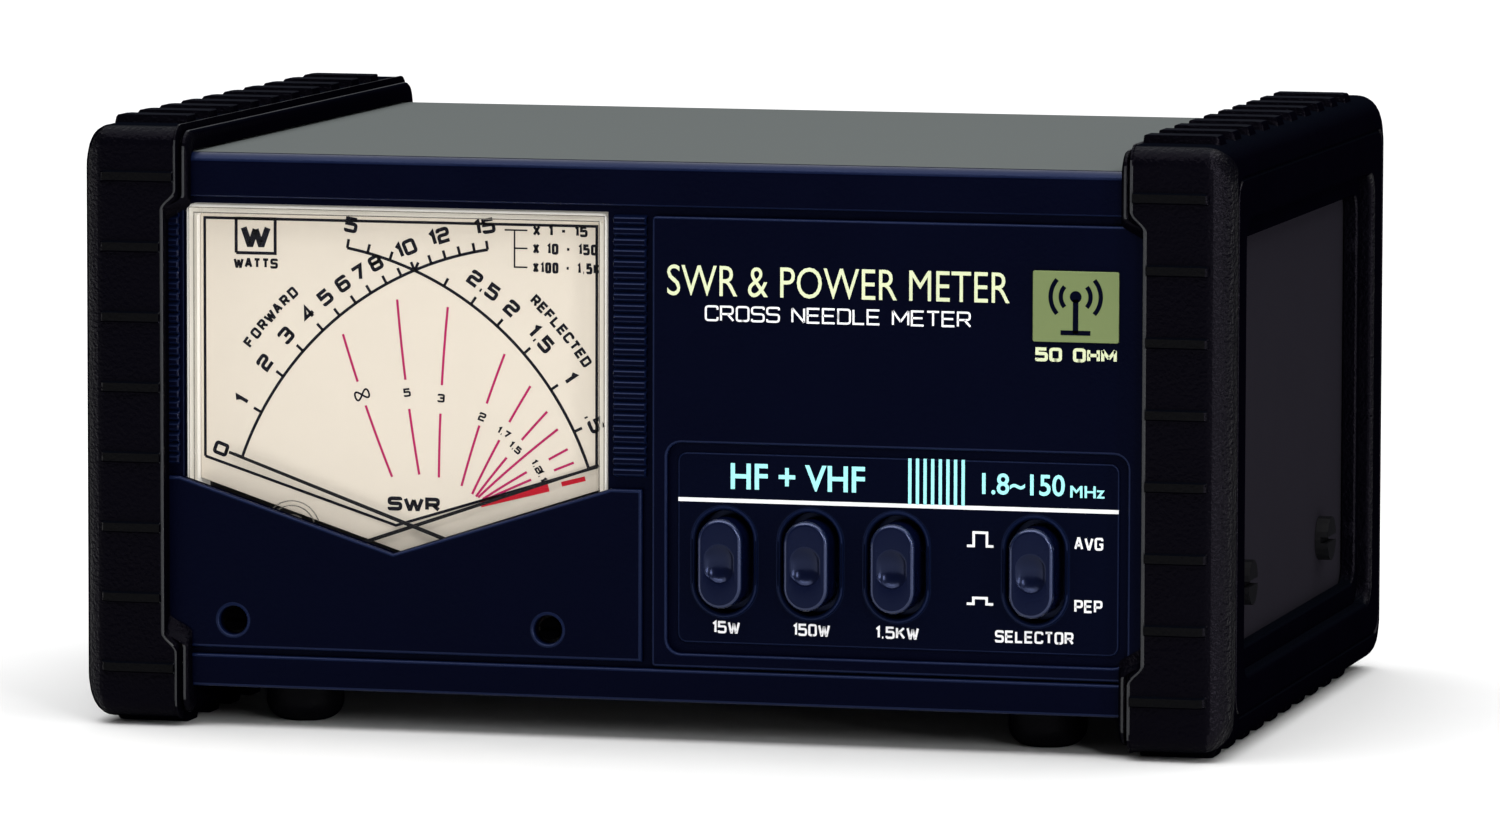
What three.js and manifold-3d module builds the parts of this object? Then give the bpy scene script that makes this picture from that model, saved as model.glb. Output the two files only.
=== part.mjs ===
// SWR and power meter for a radio aerial lead: a sheet-metal case between two moulded side guards,
// a cross-needle meter, three range buttons, a selector button and two coaxial sockets at the back.
// Millimetres, +X to the right of the front panel, +Y to the back, +Z up.
// Inside this file Y = 0 is the guards' front face and Z = 0 their bottom face; the group at the
// end is moved so that the origin is under the middle of the whole object, on its resting plane.
import * as THREE from 'three';
import { mergeVertices } from 'three/addons/utils/BufferGeometryUtils.js';
import Module from 'manifold-3d';

const wasm = await Module();
wasm.setup();

// ---- driving dimensions ----
const HALF_WIDTH = 75;
const BODY_DEPTH = 104;
const BODY_HEIGHT = 76;
const RIB = 1.0;                 // how far the grip ribs stand off the guards
const RIB_PITCH = 9.1;
const SHEET = 1.0;               // top cover
const FLOOR = 1.2;               // chassis plate
const GAP = 0.3;                 // between neighbours that touch

const CASE = { x: 71, y: [3.7, 100.6], z: [4.2, 72.6] };
const TAB_X = 60.6;              // inner edge of the guards over the top and bottom of the front
const WAIST_X = 64.1;            // inner edge of the guards beside the front panel
const GUARD_ROUND = 4;
const OPENING = { y: [10, 94], z: [8.8, 66.1] };

const PANEL_Y = 2.2;             // front faces of the bezel's bars and panels
const GROOVE_Y = 3.4;
const BEZEL_BACK_Y = 6.0;
const SKIRT_BACK_Y = 10.5;
const PANEL_Z = [8.7, 65.8];
const MASK = { x: [-66.5, -1.2], z: [9.2, 31.1], notch: [-33.9, 22.0], shoulders: [-62.3, -5.25] };
const LENS = { x: [-61.85, -6.1], y: [3.7, 10], z: [9.9, 65.9], wall: 1.2, face: 0.9 };
const DIAL = { y: [5.9, 6.4], x: [-60.45, -7.5], top: 64.5, shoulder: 32.2, low: 23.6 };
const METER_BACK_Y = 26;

const SWITCH_PLATE = { x: [2.1, 61.5], y: [3.2, 4.0], z: [10.5, 37.2] };
const RANGE_X = [9.4, 20.56, 31.74];
const SELECTOR_X = 49.58;
const BUTTON = { z: 22.2, width: 5.8, height: 11.4, front: 0.2, back: 6.4, travel: 2.5 };
const SWITCH_Y = [13, 27];

const PIVOTS = {
  forward: { x: -15.5, z: 19.3, rest: 160.2, y: 4.8, scale: 42, coilRest: 32 },
  reflected: { x: -48.45, z: 19.6, rest: 19.0, y: 5.3, scale: 41.6, coilRest: -32 },
};
const ADJUSTERS = { forward: [-13.5, 12.9], reflected: [-55.2, 12.8] };

const SOCKET = { x: 25, z: 42, radius: 7.95, bore: 6.2, end: 118, face: 110.6 };
const REAR_WALL_Y = [99.2, 100.4];
const COUPLER = { x: 42, y: [66, 98.8], z: [27, 57] };
const JACK = { x: 52, z: 22 };
const FOOT = { x: 49, y: [13.5, 90.5], radius: 5 };
const COVER_SCREW = { y: [26, 78], z: 19 };
const GUARD_SCREW = { x: 66.4, z: [11.1, 65.1] };

// ---- solids from three.js geometry ----
function toSolid(geometry) {
  const bare = geometry.clone();
  bare.deleteAttribute('normal');
  bare.deleteAttribute('uv');
  const merged = mergeVertices(bare, 1e-4);
  return new wasm.Manifold(new wasm.Mesh({
    numProp: 3,
    vertProperties: merged.attributes.position.array,
    triVerts: new Uint32Array(merged.index.array),
  }));
}

const join = (...solids) => solids.reduce((sum, solid) => sum.add(solid));
const cut = (solid, ...tools) => tools.reduce((left, tool) => left.subtract(tool), solid);
const spread = ([low, high], by) => [low - by, high + by];

function box([x0, x1], [y0, y1], [z0, z1]) {
  const block = new THREE.BoxGeometry(x1 - x0, y1 - y0, z1 - z0);
  return toSolid(block.translate((x0 + x1) / 2, (y0 + y1) / 2, (z0 + z1) / 2));
}

// A shape drawn in the plane that faces an axis, swept along that axis between two places.
const AXES = {
  x: [[0, 1, 0], [0, 0, 1], [1, 0, 0]],     // drawn in Y and Z
  y: [[1, 0, 0], [0, 0, 1], [0, -1, 0]],    // drawn in X and Z
  z: [[1, 0, 0], [0, 1, 0], [0, 0, 1]],     // drawn in X and Y
};
// Three halves each arc of a shape once more, so an arc gets twice halfSteps pieces.
function sweep(shape, axis, [from, to], halfSteps = 2) {
  const frame = AXES[axis].map((v) => new THREE.Vector3(...v));
  const geometry = new THREE.ExtrudeGeometry(shape,
    { depth: to - from, bevelEnabled: false, curveSegments: halfSteps });
  geometry.applyMatrix4(new THREE.Matrix4().makeBasis(...frame));
  const start = axis === 'y' ? to : from;
  return toSolid(geometry.translate(axis === 'x' ? start : 0, axis === 'y' ? start : 0,
    axis === 'z' ? start : 0));
}

function roundedRect([left, right], [low, high], radius) {
  const shape = new THREE.Shape();
  const turn = Math.PI / 2;
  shape.moveTo(left + radius, low);
  shape.absarc(right - radius, low + radius, radius, -turn, 0);
  shape.absarc(right - radius, high - radius, radius, 0, turn);
  shape.absarc(left + radius, high - radius, radius, turn, 2 * turn);
  shape.absarc(left + radius, low + radius, radius, 2 * turn, 3 * turn);
  shape.closePath();
  return shape;
}

function polygon(points) {
  return new THREE.Shape(points.map(([u, v]) => new THREE.Vector2(u, v)));
}

function disc(u, v, radius) {
  const shape = new THREE.Shape();
  shape.absarc(u, v, radius, 0, 2 * Math.PI);
  return shape;
}
const rod = (axis, u, v, radius, range, sides = 20) =>
  sweep(disc(u, v, radius), axis, range, sides / 2);

// ---- meshes ----
const model = new THREE.Group();

function material(color, roughness, metalness = 0, opacity = 1) {
  return new THREE.MeshStandardMaterial(
    { color, roughness, metalness, opacity, transparent: opacity < 1 });
}
const NAVY = material(0x1b2340, 0.55);
const BLACK = material(0x17171a, 0.6);
const RUBBER = material(0x202022, 0.8);
const PAINT = material(0x565b59, 0.5, 0.2);
const ZINC = material(0xb9bcbe, 0.35, 0.9);
const SCREW = material(0x8d9092, 0.3, 0.9);
const NICKEL = material(0xd0d0cc, 0.2, 1);
const BRASS = material(0xc9a24f, 0.3, 1);
const CLEAR = material(0xe8f0f0, 0.05, 0, 0.3);
const CREAM = material(0xf1e9d8, 0.6);
const NEEDLE = material(0x0c0c0d, 0.4);
const GOLD = material(0xc9cf9c, 0.35, 0.6);
const COPPER = material(0xb5652f, 0.35, 0.9);
const MAGNET = material(0x4b4c50, 0.5, 0.6);
const BOARD = material(0x2c5a34, 0.55);
const PTFE = material(0xf2f1ea, 0.45);
const FERRITE = material(0x2f3033, 0.7);
const SPRING = material(0x9a9d9f, 0.3, 0.9);
const BULB = material(0xf4e6b8, 0.1, 0, 0.6);
const WIRE = material(0x8a1f1f, 0.5);

function part(name, solid, finish, mirrored = false) {
  const mesh = solid.getMesh();
  const geometry = new THREE.BufferGeometry();
  geometry.setAttribute('position', new THREE.BufferAttribute(mesh.vertProperties, 3));
  geometry.setIndex(new THREE.BufferAttribute(mesh.triVerts, 1));
  geometry.computeVertexNormals();
  const made = new THREE.Mesh(geometry, finish);
  made.name = name;
  if (mirrored) made.scale.x = -1;
  model.add(made);
}

// ---- case ----
function topCover() {
  const { x, y, z } = CASE;
  const outer = roundedRect([-x, x], [z[0] - 20, z[1]], 2.5);
  const inner = roundedRect([SHEET - x, x - SHEET], [z[0] - 30, z[1] - SHEET], 0.5);
  const below = box([-80, 80], [0, 120], [-40, z[0]]);
  const holes = COVER_SCREW.y.map((at) => rod('x', at, COVER_SCREW.z, 1.8, [-80, 80], 12));
  return cut(sweep(outer, 'y', y), sweep(inner, 'y', spread(y, 1)), below, ...holes);
}

function chassis() {
  const half = CASE.x - SHEET - GAP;
  const floorTop = CASE.z[0] + FLOOR;
  const wallTop = CASE.z[1] - SHEET - GAP;
  const floor = box([-half, half], [7, REAR_WALL_Y[1]], [CASE.z[0], floorTop]);
  const wall = box([-half, half], REAR_WALL_Y, [CASE.z[0], wallTop]);
  const flanges = [[-half, FLOOR - half], [half - FLOOR, half]].map(
    (x) => box(x, [14, REAR_WALL_Y[1]], [CASE.z[0], 25]));
  const footHoles = FOOT.y.flatMap((y) => [-FOOT.x, FOOT.x].map(
    (x) => rod('z', x, y, 2.3, [0, 10], 12)));
  const socketHoles = [-SOCKET.x, SOCKET.x].map((x) => rod('y', x, SOCKET.z, 6.2, [90, 110], 20));
  const sideHoles = COVER_SCREW.y.map((y) => rod('x', y, COVER_SCREW.z, 1.8, [-80, 80], 12));
  const rearHoles = GUARD_SCREW.z.flatMap((z) => [-GUARD_SCREW.x, GUARD_SCREW.x].map(
    (x) => rod('y', x, z, 1.8, [90, 110], 12)));
  return cut(join(floor, wall, ...flanges), ...footHoles, ...socketHoles, ...sideHoles,
    ...rearHoles, rod('y', JACK.x, JACK.z, 4.3, [90, 110], 16));
}

// Inner edge of a guard: a broad tab over the top and bottom bars of the front, a narrower waist
// beside the panel, and an S-curve between the two. This is the space inside that edge.
function insideEdge() {
  const shape = new THREE.Shape();
  shape.moveTo(40, -10);
  shape.lineTo(TAB_X, -10);
  shape.lineTo(TAB_X, 8.0);
  shape.bezierCurveTo(TAB_X, 10.4, WAIST_X, 9.6, WAIST_X, 12.3);
  shape.lineTo(WAIST_X, 63.6);
  shape.bezierCurveTo(WAIST_X, 66.4, TAB_X, 65.6, TAB_X, 68.0);
  shape.lineTo(TAB_X, 90);
  shape.lineTo(40, 90);
  shape.closePath();
  return sweep(shape, 'y', [-5, BODY_DEPTH + 5]);
}

function guardRibs() {
  const outer = HALF_WIDTH - 3.1;
  const ribs = [];
  for (let k = 0; k < 8; k += 1) {
    const z = 6.63 + 8.99 * k;
    const inner = k === 0 || k === 7 ? TAB_X + 1.2 : WAIST_X + 0.2;
    const thick = [z - 0.6, z + 0.6];
    ribs.push(box([inner, outer], [-0.6, 0.5], thick));
    ribs.push(box([inner, outer], [BODY_DEPTH - 0.5, BODY_DEPTH + 0.6], thick));
  }
  for (let k = 0; k < 10; k += 1) {
    const front = 6.2 + RIB_PITCH * k;
    const wide = [front, front + 4.4];
    ribs.push(box([TAB_X + 1.2, outer], wide, [BODY_HEIGHT - 0.5, BODY_HEIGHT + RIB]));
    ribs.push(box([TAB_X + 1.2, outer], wide, [-RIB, 0.5]));
  }
  return ribs;
}

function rightGuard() {
  const x = [TAB_X - 5, HALF_WIDTH];
  const seenFromSide = roundedRect([0, BODY_DEPTH], [0, BODY_HEIGHT], 2.5);
  const seenFromFront = roundedRect([20, HALF_WIDTH], [0, BODY_HEIGHT], GUARD_ROUND);
  const seenFromTop = roundedRect([20, HALF_WIDTH], [0, BODY_DEPTH], GUARD_ROUND);
  const block = sweep(seenFromSide, 'x', x)
    .intersect(sweep(seenFromFront, 'y', [-1, BODY_DEPTH + 1]))
    .intersect(sweep(seenFromTop, 'z', [-1, BODY_HEIGHT + 1]));
  const caseSpace = box([0, CASE.x + GAP], [PANEL_Y - GAP, CASE.y[1] + GAP],
    spread(CASE.z, GAP));
  const opening = sweep(roundedRect(OPENING.y, OPENING.z, 3), 'x', [73, 80]);
  const ledge = sweep(roundedRect(spread(OPENING.y, -1.2), spread(OPENING.z, -2.7), 2), 'x',
    [60, 80]);
  const screwHoles = GUARD_SCREW.z.map(
    (z) => rod('y', GUARD_SCREW.x, z, 1.8, [BODY_DEPTH - 6, BODY_DEPTH + 2], 12));
  return cut(join(block, ...guardRibs()), insideEdge(), caseSpace, opening, ledge, ...screwHoles);
}

function foot(x, y) {
  const profile = [[0, -RIB], [4.4, -RIB], [FOOT.radius, -0.2], [FOOT.radius, 3.9], [2, 3.9],
    [2, 5.6], [2.6, 6.2], [1.6, 8], [0, 8]];
  const turned = new THREE.LatheGeometry(profile.map(([r, z]) => new THREE.Vector2(r, z)), 16);
  return toSolid(turned.rotateX(Math.PI / 2).translate(x, y, 0));
}

function panScrew(axis, u, v, [tip, seat], head) {
  const out = Math.sign(seat - tip);
  const top = seat + out * head;
  const order = (a, b) => [Math.min(a, b), Math.max(a, b)];
  const slot = { x: () => box(order(top - out, top + out), [u - 4, u + 4], [v - 0.4, v + 0.4]),
    y: () => box([u - 4, u + 4], order(top - out, top + out), [v - 0.4, v + 0.4]) };
  return cut(join(rod(axis, u, v, 1.45, order(tip, seat + out * 0.5), 12),
    rod(axis, u, v, 2.9, order(seat, top), 16)), slot[axis]());
}

// ---- front panel ----
function stadium(x, grow) {
  const radius = BUTTON.width / 2;
  const reach = BUTTON.height / 2 - radius;
  const shape = new THREE.Shape();
  shape.absarc(x, BUTTON.z + reach, radius + grow, 0, Math.PI);
  shape.absarc(x, BUTTON.z - reach, radius + grow, Math.PI, 2 * Math.PI);
  shape.closePath();
  return shape;
}

function buttonHoles(grow, y) {
  return [...RANGE_X, SELECTOR_X].map((x) => sweep(stadium(x, grow), 'y', y));
}

function frontBezel() {
  const wide = CASE.x - SHEET - GAP;
  const inside = [CASE.z[0] + FLOOR + GAP, CASE.z[1] - SHEET - GAP];
  const lip = box([-wide, wide], [PANEL_Y, GROOVE_Y], CASE.z);
  const skirt = cut(box([-wide, wide], [GROOVE_Y - 0.5, SKIRT_BACK_Y], inside),
    box([2 - wide, wide - 2], [BEZEL_BACK_Y, 20], spread(inside, -2)));
  const grooves = [[8.4, PANEL_Z[0]], [PANEL_Z[1], 67]].map(
    (z) => box([-80, 80], [0, GROOVE_Y - 0.2], z));
  const besideMeter = box([-80, 0.1], [0, GROOVE_Y - 0.4], spread(PANEL_Z, -0.1));
  const maskSeat = box([MASK.x[0] - 0.3, MASK.x[1] + 0.3], [0, PANEL_Y + 1.7],
    [MASK.z[0] - 0.3, MASK.z[1] + 0.3]);
  const window = box(spread(LENS.x, 0.2), [0, 20], [LENS.z[0] - 0.2, LENS.z[1] + 0.2]);
  const plateSeat = sweep(roundedRect(SWITCH_PLATE.x, SWITCH_PLATE.z, 1.5), 'y', [0, 4.2]);
  const recesses = join(...grooves, besideMeter, maskSeat, window, plateSeat);
  return cut(join(lip, skirt), recesses, ...buttonHoles(0.35, [0, 20]));
}

function meterMask() {
  const { x, z, notch, shoulders } = MASK;
  const outline = polygon([[x[0], z[0]], [x[1], z[0]], [x[1], z[1]], [shoulders[1], z[1]], notch,
    [shoulders[0], z[1]], [x[0], z[1]]]);
  const holes = Object.values(ADJUSTERS).map(([u, v]) => rod('y', u, v, 1.9, [0, 6]));
  return cut(sweep(outline, 'y', [PANEL_Y, PANEL_Y + 1.3]), ...holes);
}

function switchPlate() {
  const { x, y, z } = SWITCH_PLATE;
  const plate = sweep(roundedRect(spread(x, -0.2), spread(z, -0.2), 1.3), 'y', y);
  return cut(plate, ...buttonHoles(0.35, [0, 8]));
}

const badgePlate = () => box([49.3, 60.3], [PANEL_Y - 0.35, PANEL_Y - 0.05], [51.2, 60.1]);

// ---- meter ----
function meterLens() {
  const { x, y, z, wall, face } = LENS;
  const hollow = box(spread(x, -wall), [y[0] + face, y[1] + 1], spread(z, -wall));
  const holes = Object.values(ADJUSTERS).map(([u, v]) => rod('y', u, v, 1.7, [0, 6]));
  return cut(box(x, y, z), hollow, ...holes);
}

function dialPlate() {
  const { x, y, top, shoulder, low } = DIAL;
  const middle = (x[0] + x[1]) / 2;
  return sweep(polygon([[x[0], shoulder], [middle, low], [x[1], shoulder], [x[1], top],
    [x[0], top]]), 'y', y);
}

function meterBase() {
  const y = [LENS.y[1] + GAP, METER_BACK_Y];
  const shell = cut(box(LENS.x, y, LENS.z),
    box(spread(LENS.x, -1.4), [0, METER_BACK_Y - 1.4], spread(LENS.z, -1.4)));
  const posts = [-54, -14].map((x) => rod('y', x, 58, 2, [DIAL.y[1] + 0.2, METER_BACK_Y - 1], 12));
  return join(shell, ...posts);
}

// What is built round the pivot line at the origin is turned from +X towards +Z, then moved there.
function toPivot(solid, degrees, [x, y, z]) {
  const turned = new THREE.Matrix4().makeRotationY(-degrees * Math.PI / 180);
  turned.setPosition(x, y, z);
  return solid.transform(turned.elements);
}

function needle({ x, z, rest, y, scale }) {
  const blade = sweep(polygon([[-4.6, -0.75], [0, -0.45], [scale + 1.7, -0.14],
    [scale + 1.7, 0.14], [0, 0.45], [-4.6, 0.75]]), 'y', [0, 0.25]);
  const hub = rod('y', 0, 0, 1.5, [0, 0.5], 16);
  return toPivot(join(blade, hub), rest, [x, y, z]);
}

// A moving coil: a flat frame round the core, with a stub shaft at each end on the pivot line.
function movingCoil({ x, z, y, coilRest }) {
  const frame = cut(box([-5.4, 5.4], [9, 19.4], [-1.5, 1.5]),
    box([-4.6, 4.6], [9.8, 18.6], [-2, 2]));
  const shafts = [[y + 0.55, 9.2], [19.2, 21.5]].map((range) => rod('y', 0, 0, 0.6, range, 10));
  return toPivot(join(frame, ...shafts), coilRest, [x, 0, z]);
}

function magnetAndYoke({ x, z }) {
  const yoke = cut(rod('y', x, z, 7.6, [10.2, 24.3], 28), rod('y', x, z, 6.1, [0, 30], 28));
  const core = rod('y', x, z, 4.0, [10.2, 18.2], 24);
  const bridge = box([x - 0.9, x + 0.9], [11, 17], [z - 6.6, z - 3.5]);
  return join(yoke, core, bridge);
}

function zeroAdjuster([x, z]) {
  const head = cut(rod('y', x, z, 1.4, [3.0, 5.2], 16),
    box([x - 2, x + 2], [2.5, 3.7], [z - 0.3, z + 0.3]));
  return join(head, rod('y', x, z, 0.9, [5, 8.2], 12));
}

const lampHolder = () => box([-36, -32], [20.6, 24.4], [48, 52]);
const meterLamp = () => join(rod('y', -34, 50, 1.6, [12, 20.4], 12),
  toSolid(new THREE.SphereGeometry(1.6, 12, 8).translate(-34, 12.2, 50)));

// ---- switches ----
function button(x) {
  const { front, back } = BUTTON;
  const dimple = toSolid(new THREE.SphereGeometry(4, 20, 12).translate(x, front - 3.4, BUTTON.z));
  const cap = join(sweep(stadium(x, 0), 'y', [front, back]),
    sweep(stadium(x, 0.9), 'y', [back - 0.01, back + 1]),
    rod('y', x, BUTTON.z, 1.5, [back + 0.5, 20], 12));
  return cut(cap, dimple);
}

function switchBody([x0, x1], stems) {
  const bores = stems.map((x) => rod('y', x, BUTTON.z, 1.9, [0, 24], 12));
  return cut(box([x0, x1], SWITCH_Y, [BUTTON.z - 5, BUTTON.z + 5]), ...bores);
}

class Helix extends THREE.Curve {
  constructor(x, z, radius, [from, to], turns) {
    super();
    Object.assign(this, { x, z, radius, from, to, turns });
  }

  getPoint(t, target = new THREE.Vector3()) {
    const angle = 2 * Math.PI * this.turns * t;
    return target.set(this.x + this.radius * Math.cos(angle),
      this.from + (this.to - this.from) * t, this.z + this.radius * Math.sin(angle));
  }
}

function along(curve, radius, steps, sides) {
  const points = Array.from({ length: sides }, (_, k) => {
    const angle = 2 * Math.PI * k / sides;
    return [radius * Math.cos(angle), radius * Math.sin(angle)];
  });
  return toSolid(new THREE.ExtrudeGeometry(polygon(points),
    { steps, extrudePath: curve, bevelEnabled: false }));
}

const returnSpring = (x) => along(
  new Helix(x, BUTTON.z, 2.6, [BUTTON.back + 1.4, SWITCH_Y[0] - 0.4], 3.5), 0.22, 32, 5);

const switchBoard = () => box([2.5, 61], [SWITCH_Y[1] + GAP, SWITCH_Y[1] + GAP + 1.6], [12, 36]);

// ---- radio-frequency side ----
function couplerBox() {
  const { x, y, z } = COUPLER;
  const shell = cut(box([-x, x], y, z), box([0.8 - x, x - 0.8], spread(y, -0.8), [z[0] + 0.8, 80]));
  return cut(shell, ...[-SOCKET.x, SOCKET.x].map((u) => rod('y', u, SOCKET.z, 6.2, [90, 110], 20)));
}

function couplerLid() {
  const { x, y, z } = COUPLER;
  return cut(box([-x - 1, x + 1], [y[0] - 1, y[1]], [z[1] - 4, z[1] + 1]),
    box([-x - 0.2, x + 0.2], [y[0] - 0.2, y[1] + 1], [0, z[1] + 0.2]));
}

function lineRod() {
  const { x, z } = SOCKET;
  const path = new THREE.CurvePath();
  const at = (u, v) => new THREE.Vector3(u, v, z);
  path.add(new THREE.LineCurve3(at(-x, 88.7), at(-x, 84)));
  path.add(new THREE.QuadraticBezierCurve3(at(-x, 84), at(-x, 80), at(4 - x, 80)));
  path.add(new THREE.LineCurve3(at(4 - x, 80), at(x - 4, 80)));
  path.add(new THREE.QuadraticBezierCurve3(at(x - 4, 80), at(x, 80), at(x, 84)));
  path.add(new THREE.LineCurve3(at(x, 84), at(x, 88.7)));
  return along(path, 1.4, 24, 8);
}

function toroidCore() {
  const profile = [[4, -5], [9, -5], [9, 5], [4, 5], [4, -5]];
  const ring = new THREE.LatheGeometry(profile.map(([r, h]) => new THREE.Vector2(r, h)), 28);
  return toSolid(ring.rotateZ(-Math.PI / 2).translate(0, 80, SOCKET.z));
}

function detectorBoard() {
  const plate = box([-36, 36], [69, 96], [29.2, 30.8]);
  const trimmers = [-16, 16].map((x) => rod('z', x, 90, 3.2, [30.5, 35], 16));
  const diodes = [-24, 24].map((x) => box([x - 2, x + 2], [72, 73.6], [30.5, 32.4]));
  return join(plate, ...trimmers, ...diodes);
}

function socketShell(x) {
  const { z, radius, bore, end } = SOCKET;
  const flangeY = [REAR_WALL_Y[1] + 0.2, REAR_WALL_Y[1] + 1.8];
  const flange = sweep(roundedRect([x - 12.7, x + 12.7], [z - 12.7, z + 12.7], 1.5), 'y', flangeY);
  const shell = join(flange, rod('y', x, z, radius, [flangeY[0], end], 32),
    rod('y', x, z, 5.8, [93, flangeY[1]], 24));
  const holes = [-9.1, 9.1].flatMap((u) => [-9.1, 9.1].map(
    (v) => rod('y', x + u, z + v, 1.6, [98, 106], 12)));
  return cut(shell, rod('y', x, z, bore, [103, end + 1], 28), rod('y', x, z, 5, [90, 104], 24),
    ...holes);
}

function socketInsulator(x) {
  const { z, bore, face } = SOCKET;
  return cut(join(rod('y', x, z, bore - 0.2, [103.2, face], 28), rod('y', x, z, 4.8, [93, 104], 24)),
    rod('y', x, z, 3.1, [90, 120], 20));
}

function socketContact(x) {
  const { z, face } = SOCKET;
  return cut(join(rod('y', x, z, 2.9, [93, face + 0.4], 20), rod('y', x, z, 1.6, [89, 94], 12)),
    rod('y', x, z, 2, [face - 11, 120], 16));
}

function dcJack() {
  const { x, z } = JACK;
  const body = join(rod('y', x, z, 3.9, [90, 104.5], 20),
    rod('y', x, z, 5.6, [REAR_WALL_Y[1] + 0.2, 103], 6));
  return join(cut(body, rod('y', x, z, 2.75, [95.5, 110], 20)), rod('y', x, z, 1, [95, 103.9], 12));
}

function lead(points, radius = 0.8) {
  const curve = new THREE.CatmullRomCurve3(points.map((p) => new THREE.Vector3(...p)));
  return along(curve, radius, 18, 6);
}

// ---- assembly ----
part('top_cover', topCover(), PAINT);
part('chassis', chassis(), ZINC);
part('right_guard', rightGuard(), BLACK);
part('left_guard', rightGuard(), BLACK, true);
for (const [side, x] of [['left', -FOOT.x], ['right', FOOT.x]]) {
  part(`foot_front_${side}`, foot(x, FOOT.y[0]), RUBBER);
  part(`foot_rear_${side}`, foot(x, FOOT.y[1]), RUBBER);
}
for (const [side, sign] of [['left', -1], ['right', 1]]) {
  COVER_SCREW.y.forEach((y, k) => part(`cover_screw_${side}_${k + 1}`,
    panScrew('x', y, COVER_SCREW.z, [sign * 66, sign * (CASE.x + 0.05)], 1.7), SCREW));
  GUARD_SCREW.z.forEach((z, k) => part(`guard_screw_${side}_${k + 1}`,
    panScrew('y', sign * GUARD_SCREW.x, z, [94, BODY_DEPTH + 0.05], 1.7), SCREW));
}

part('front_bezel', frontBezel(), NAVY);
part('meter_mask', meterMask(), NAVY);
part('switch_plate', switchPlate(), NAVY);
part('badge_plate', badgePlate(), GOLD);

part('meter_lens', meterLens(), CLEAR);
part('dial_plate', dialPlate(), CREAM);
part('meter_base', meterBase(), BLACK);
for (const [name, pivot] of Object.entries(PIVOTS)) {
  part(`${name}_needle`, needle(pivot), NEEDLE);
  part(`${name}_coil`, movingCoil(pivot), COPPER);
  part(`${name}_magnet`, magnetAndYoke(pivot), MAGNET);
  part(`${name}_zero_screw`, zeroAdjuster(ADJUSTERS[name]), NEEDLE);
}
part('lamp_holder', lampHolder(), PTFE);
part('meter_lamp', meterLamp(), BULB);

const BUTTON_PLACES = { low_range: RANGE_X[0], mid_range: RANGE_X[1], high_range: RANGE_X[2],
  selector: SELECTOR_X };
for (const [name, x] of Object.entries(BUTTON_PLACES)) {
  part(`${name}_button`, button(x), NAVY);
  part(`${name}_spring`, returnSpring(x), SPRING);
}
part('range_switch', switchBody([RANGE_X[0] - 5, RANGE_X[2] + 5], RANGE_X), BLACK);
part('selector_switch', switchBody([SELECTOR_X - 5, SELECTOR_X + 5], [SELECTOR_X]), BLACK);
part('switch_board', switchBoard(), BOARD);

part('coupler_box', couplerBox(), ZINC);
part('coupler_lid', couplerLid(), ZINC);
part('line_rod', lineRod(), BRASS);
part('toroid_core', toroidCore(), FERRITE);
part('detector_board', detectorBoard(), BOARD);
for (const [name, x] of [['transmitter', -SOCKET.x], ['antenna', SOCKET.x]]) {
  part(`${name}_socket_shell`, socketShell(x), NICKEL);
  part(`${name}_socket_insulator`, socketInsulator(x), PTFE);
  part(`${name}_socket_contact`, socketContact(x), BRASS);
}
part('dc_jack', dcJack(), NICKEL);

part('meter_lead', lead([[-20, 26.9, 40], [-20, 33, 40], [0, 40, 36], [18, 37, 30],
  [24, 33, 26], [24, 29.6, 26]]), WIRE);
part('signal_lead', lead([[20, 64.3, 40], [20, 58, 40], [22, 48, 32], [32, 38, 22],
  [34, 33, 20], [34, 29.6, 20]]), WIRE);
part('lamp_lead', lead([[JACK.x, 89.4, JACK.z], [JACK.x, 84, JACK.z], [50, 66, 12], [10, 50, 9],
  [-30, 44, 14], [-34, 36, 40], [-34, 30, 50], [-34, 26.9, 50]]), WIRE);

const middleY = (SOCKET.end - 0.6) / 2;
model.position.set(0, -middleY, RIB);

export default model;
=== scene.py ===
"""Looks of the bench SWR and power meter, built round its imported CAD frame.

Drawing functions work in bench millimetres: x to the right, y back from the front face of the
side guards, z up from the guards' underside. TO_ROW carries a finished mesh into the row frame.
"""

from math import atan2, cos, degrees, hypot, pi, radians, sin, sqrt

import bmesh
import bpy
from mathutils import Matrix, Vector
from mathutils.geometry import delaunay_2d_cdt


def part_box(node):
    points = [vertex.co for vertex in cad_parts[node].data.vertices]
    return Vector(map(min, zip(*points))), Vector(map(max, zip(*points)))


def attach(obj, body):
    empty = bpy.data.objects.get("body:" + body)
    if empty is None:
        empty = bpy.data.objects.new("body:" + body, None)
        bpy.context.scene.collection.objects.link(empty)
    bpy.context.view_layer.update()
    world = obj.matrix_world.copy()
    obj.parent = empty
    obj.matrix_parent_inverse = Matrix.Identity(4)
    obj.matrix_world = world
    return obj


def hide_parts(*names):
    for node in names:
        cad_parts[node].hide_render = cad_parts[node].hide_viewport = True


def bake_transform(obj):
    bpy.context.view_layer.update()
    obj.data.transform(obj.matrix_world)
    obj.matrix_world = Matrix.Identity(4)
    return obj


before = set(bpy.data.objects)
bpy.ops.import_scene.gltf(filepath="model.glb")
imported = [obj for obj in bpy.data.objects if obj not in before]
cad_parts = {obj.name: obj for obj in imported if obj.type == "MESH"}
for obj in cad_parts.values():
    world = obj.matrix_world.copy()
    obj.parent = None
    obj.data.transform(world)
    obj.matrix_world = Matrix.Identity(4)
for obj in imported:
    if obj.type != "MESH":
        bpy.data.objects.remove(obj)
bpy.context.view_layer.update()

# ---- the bench frame, from the guards ----
MM = 0.001
guard_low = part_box("right_guard")[0]
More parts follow.
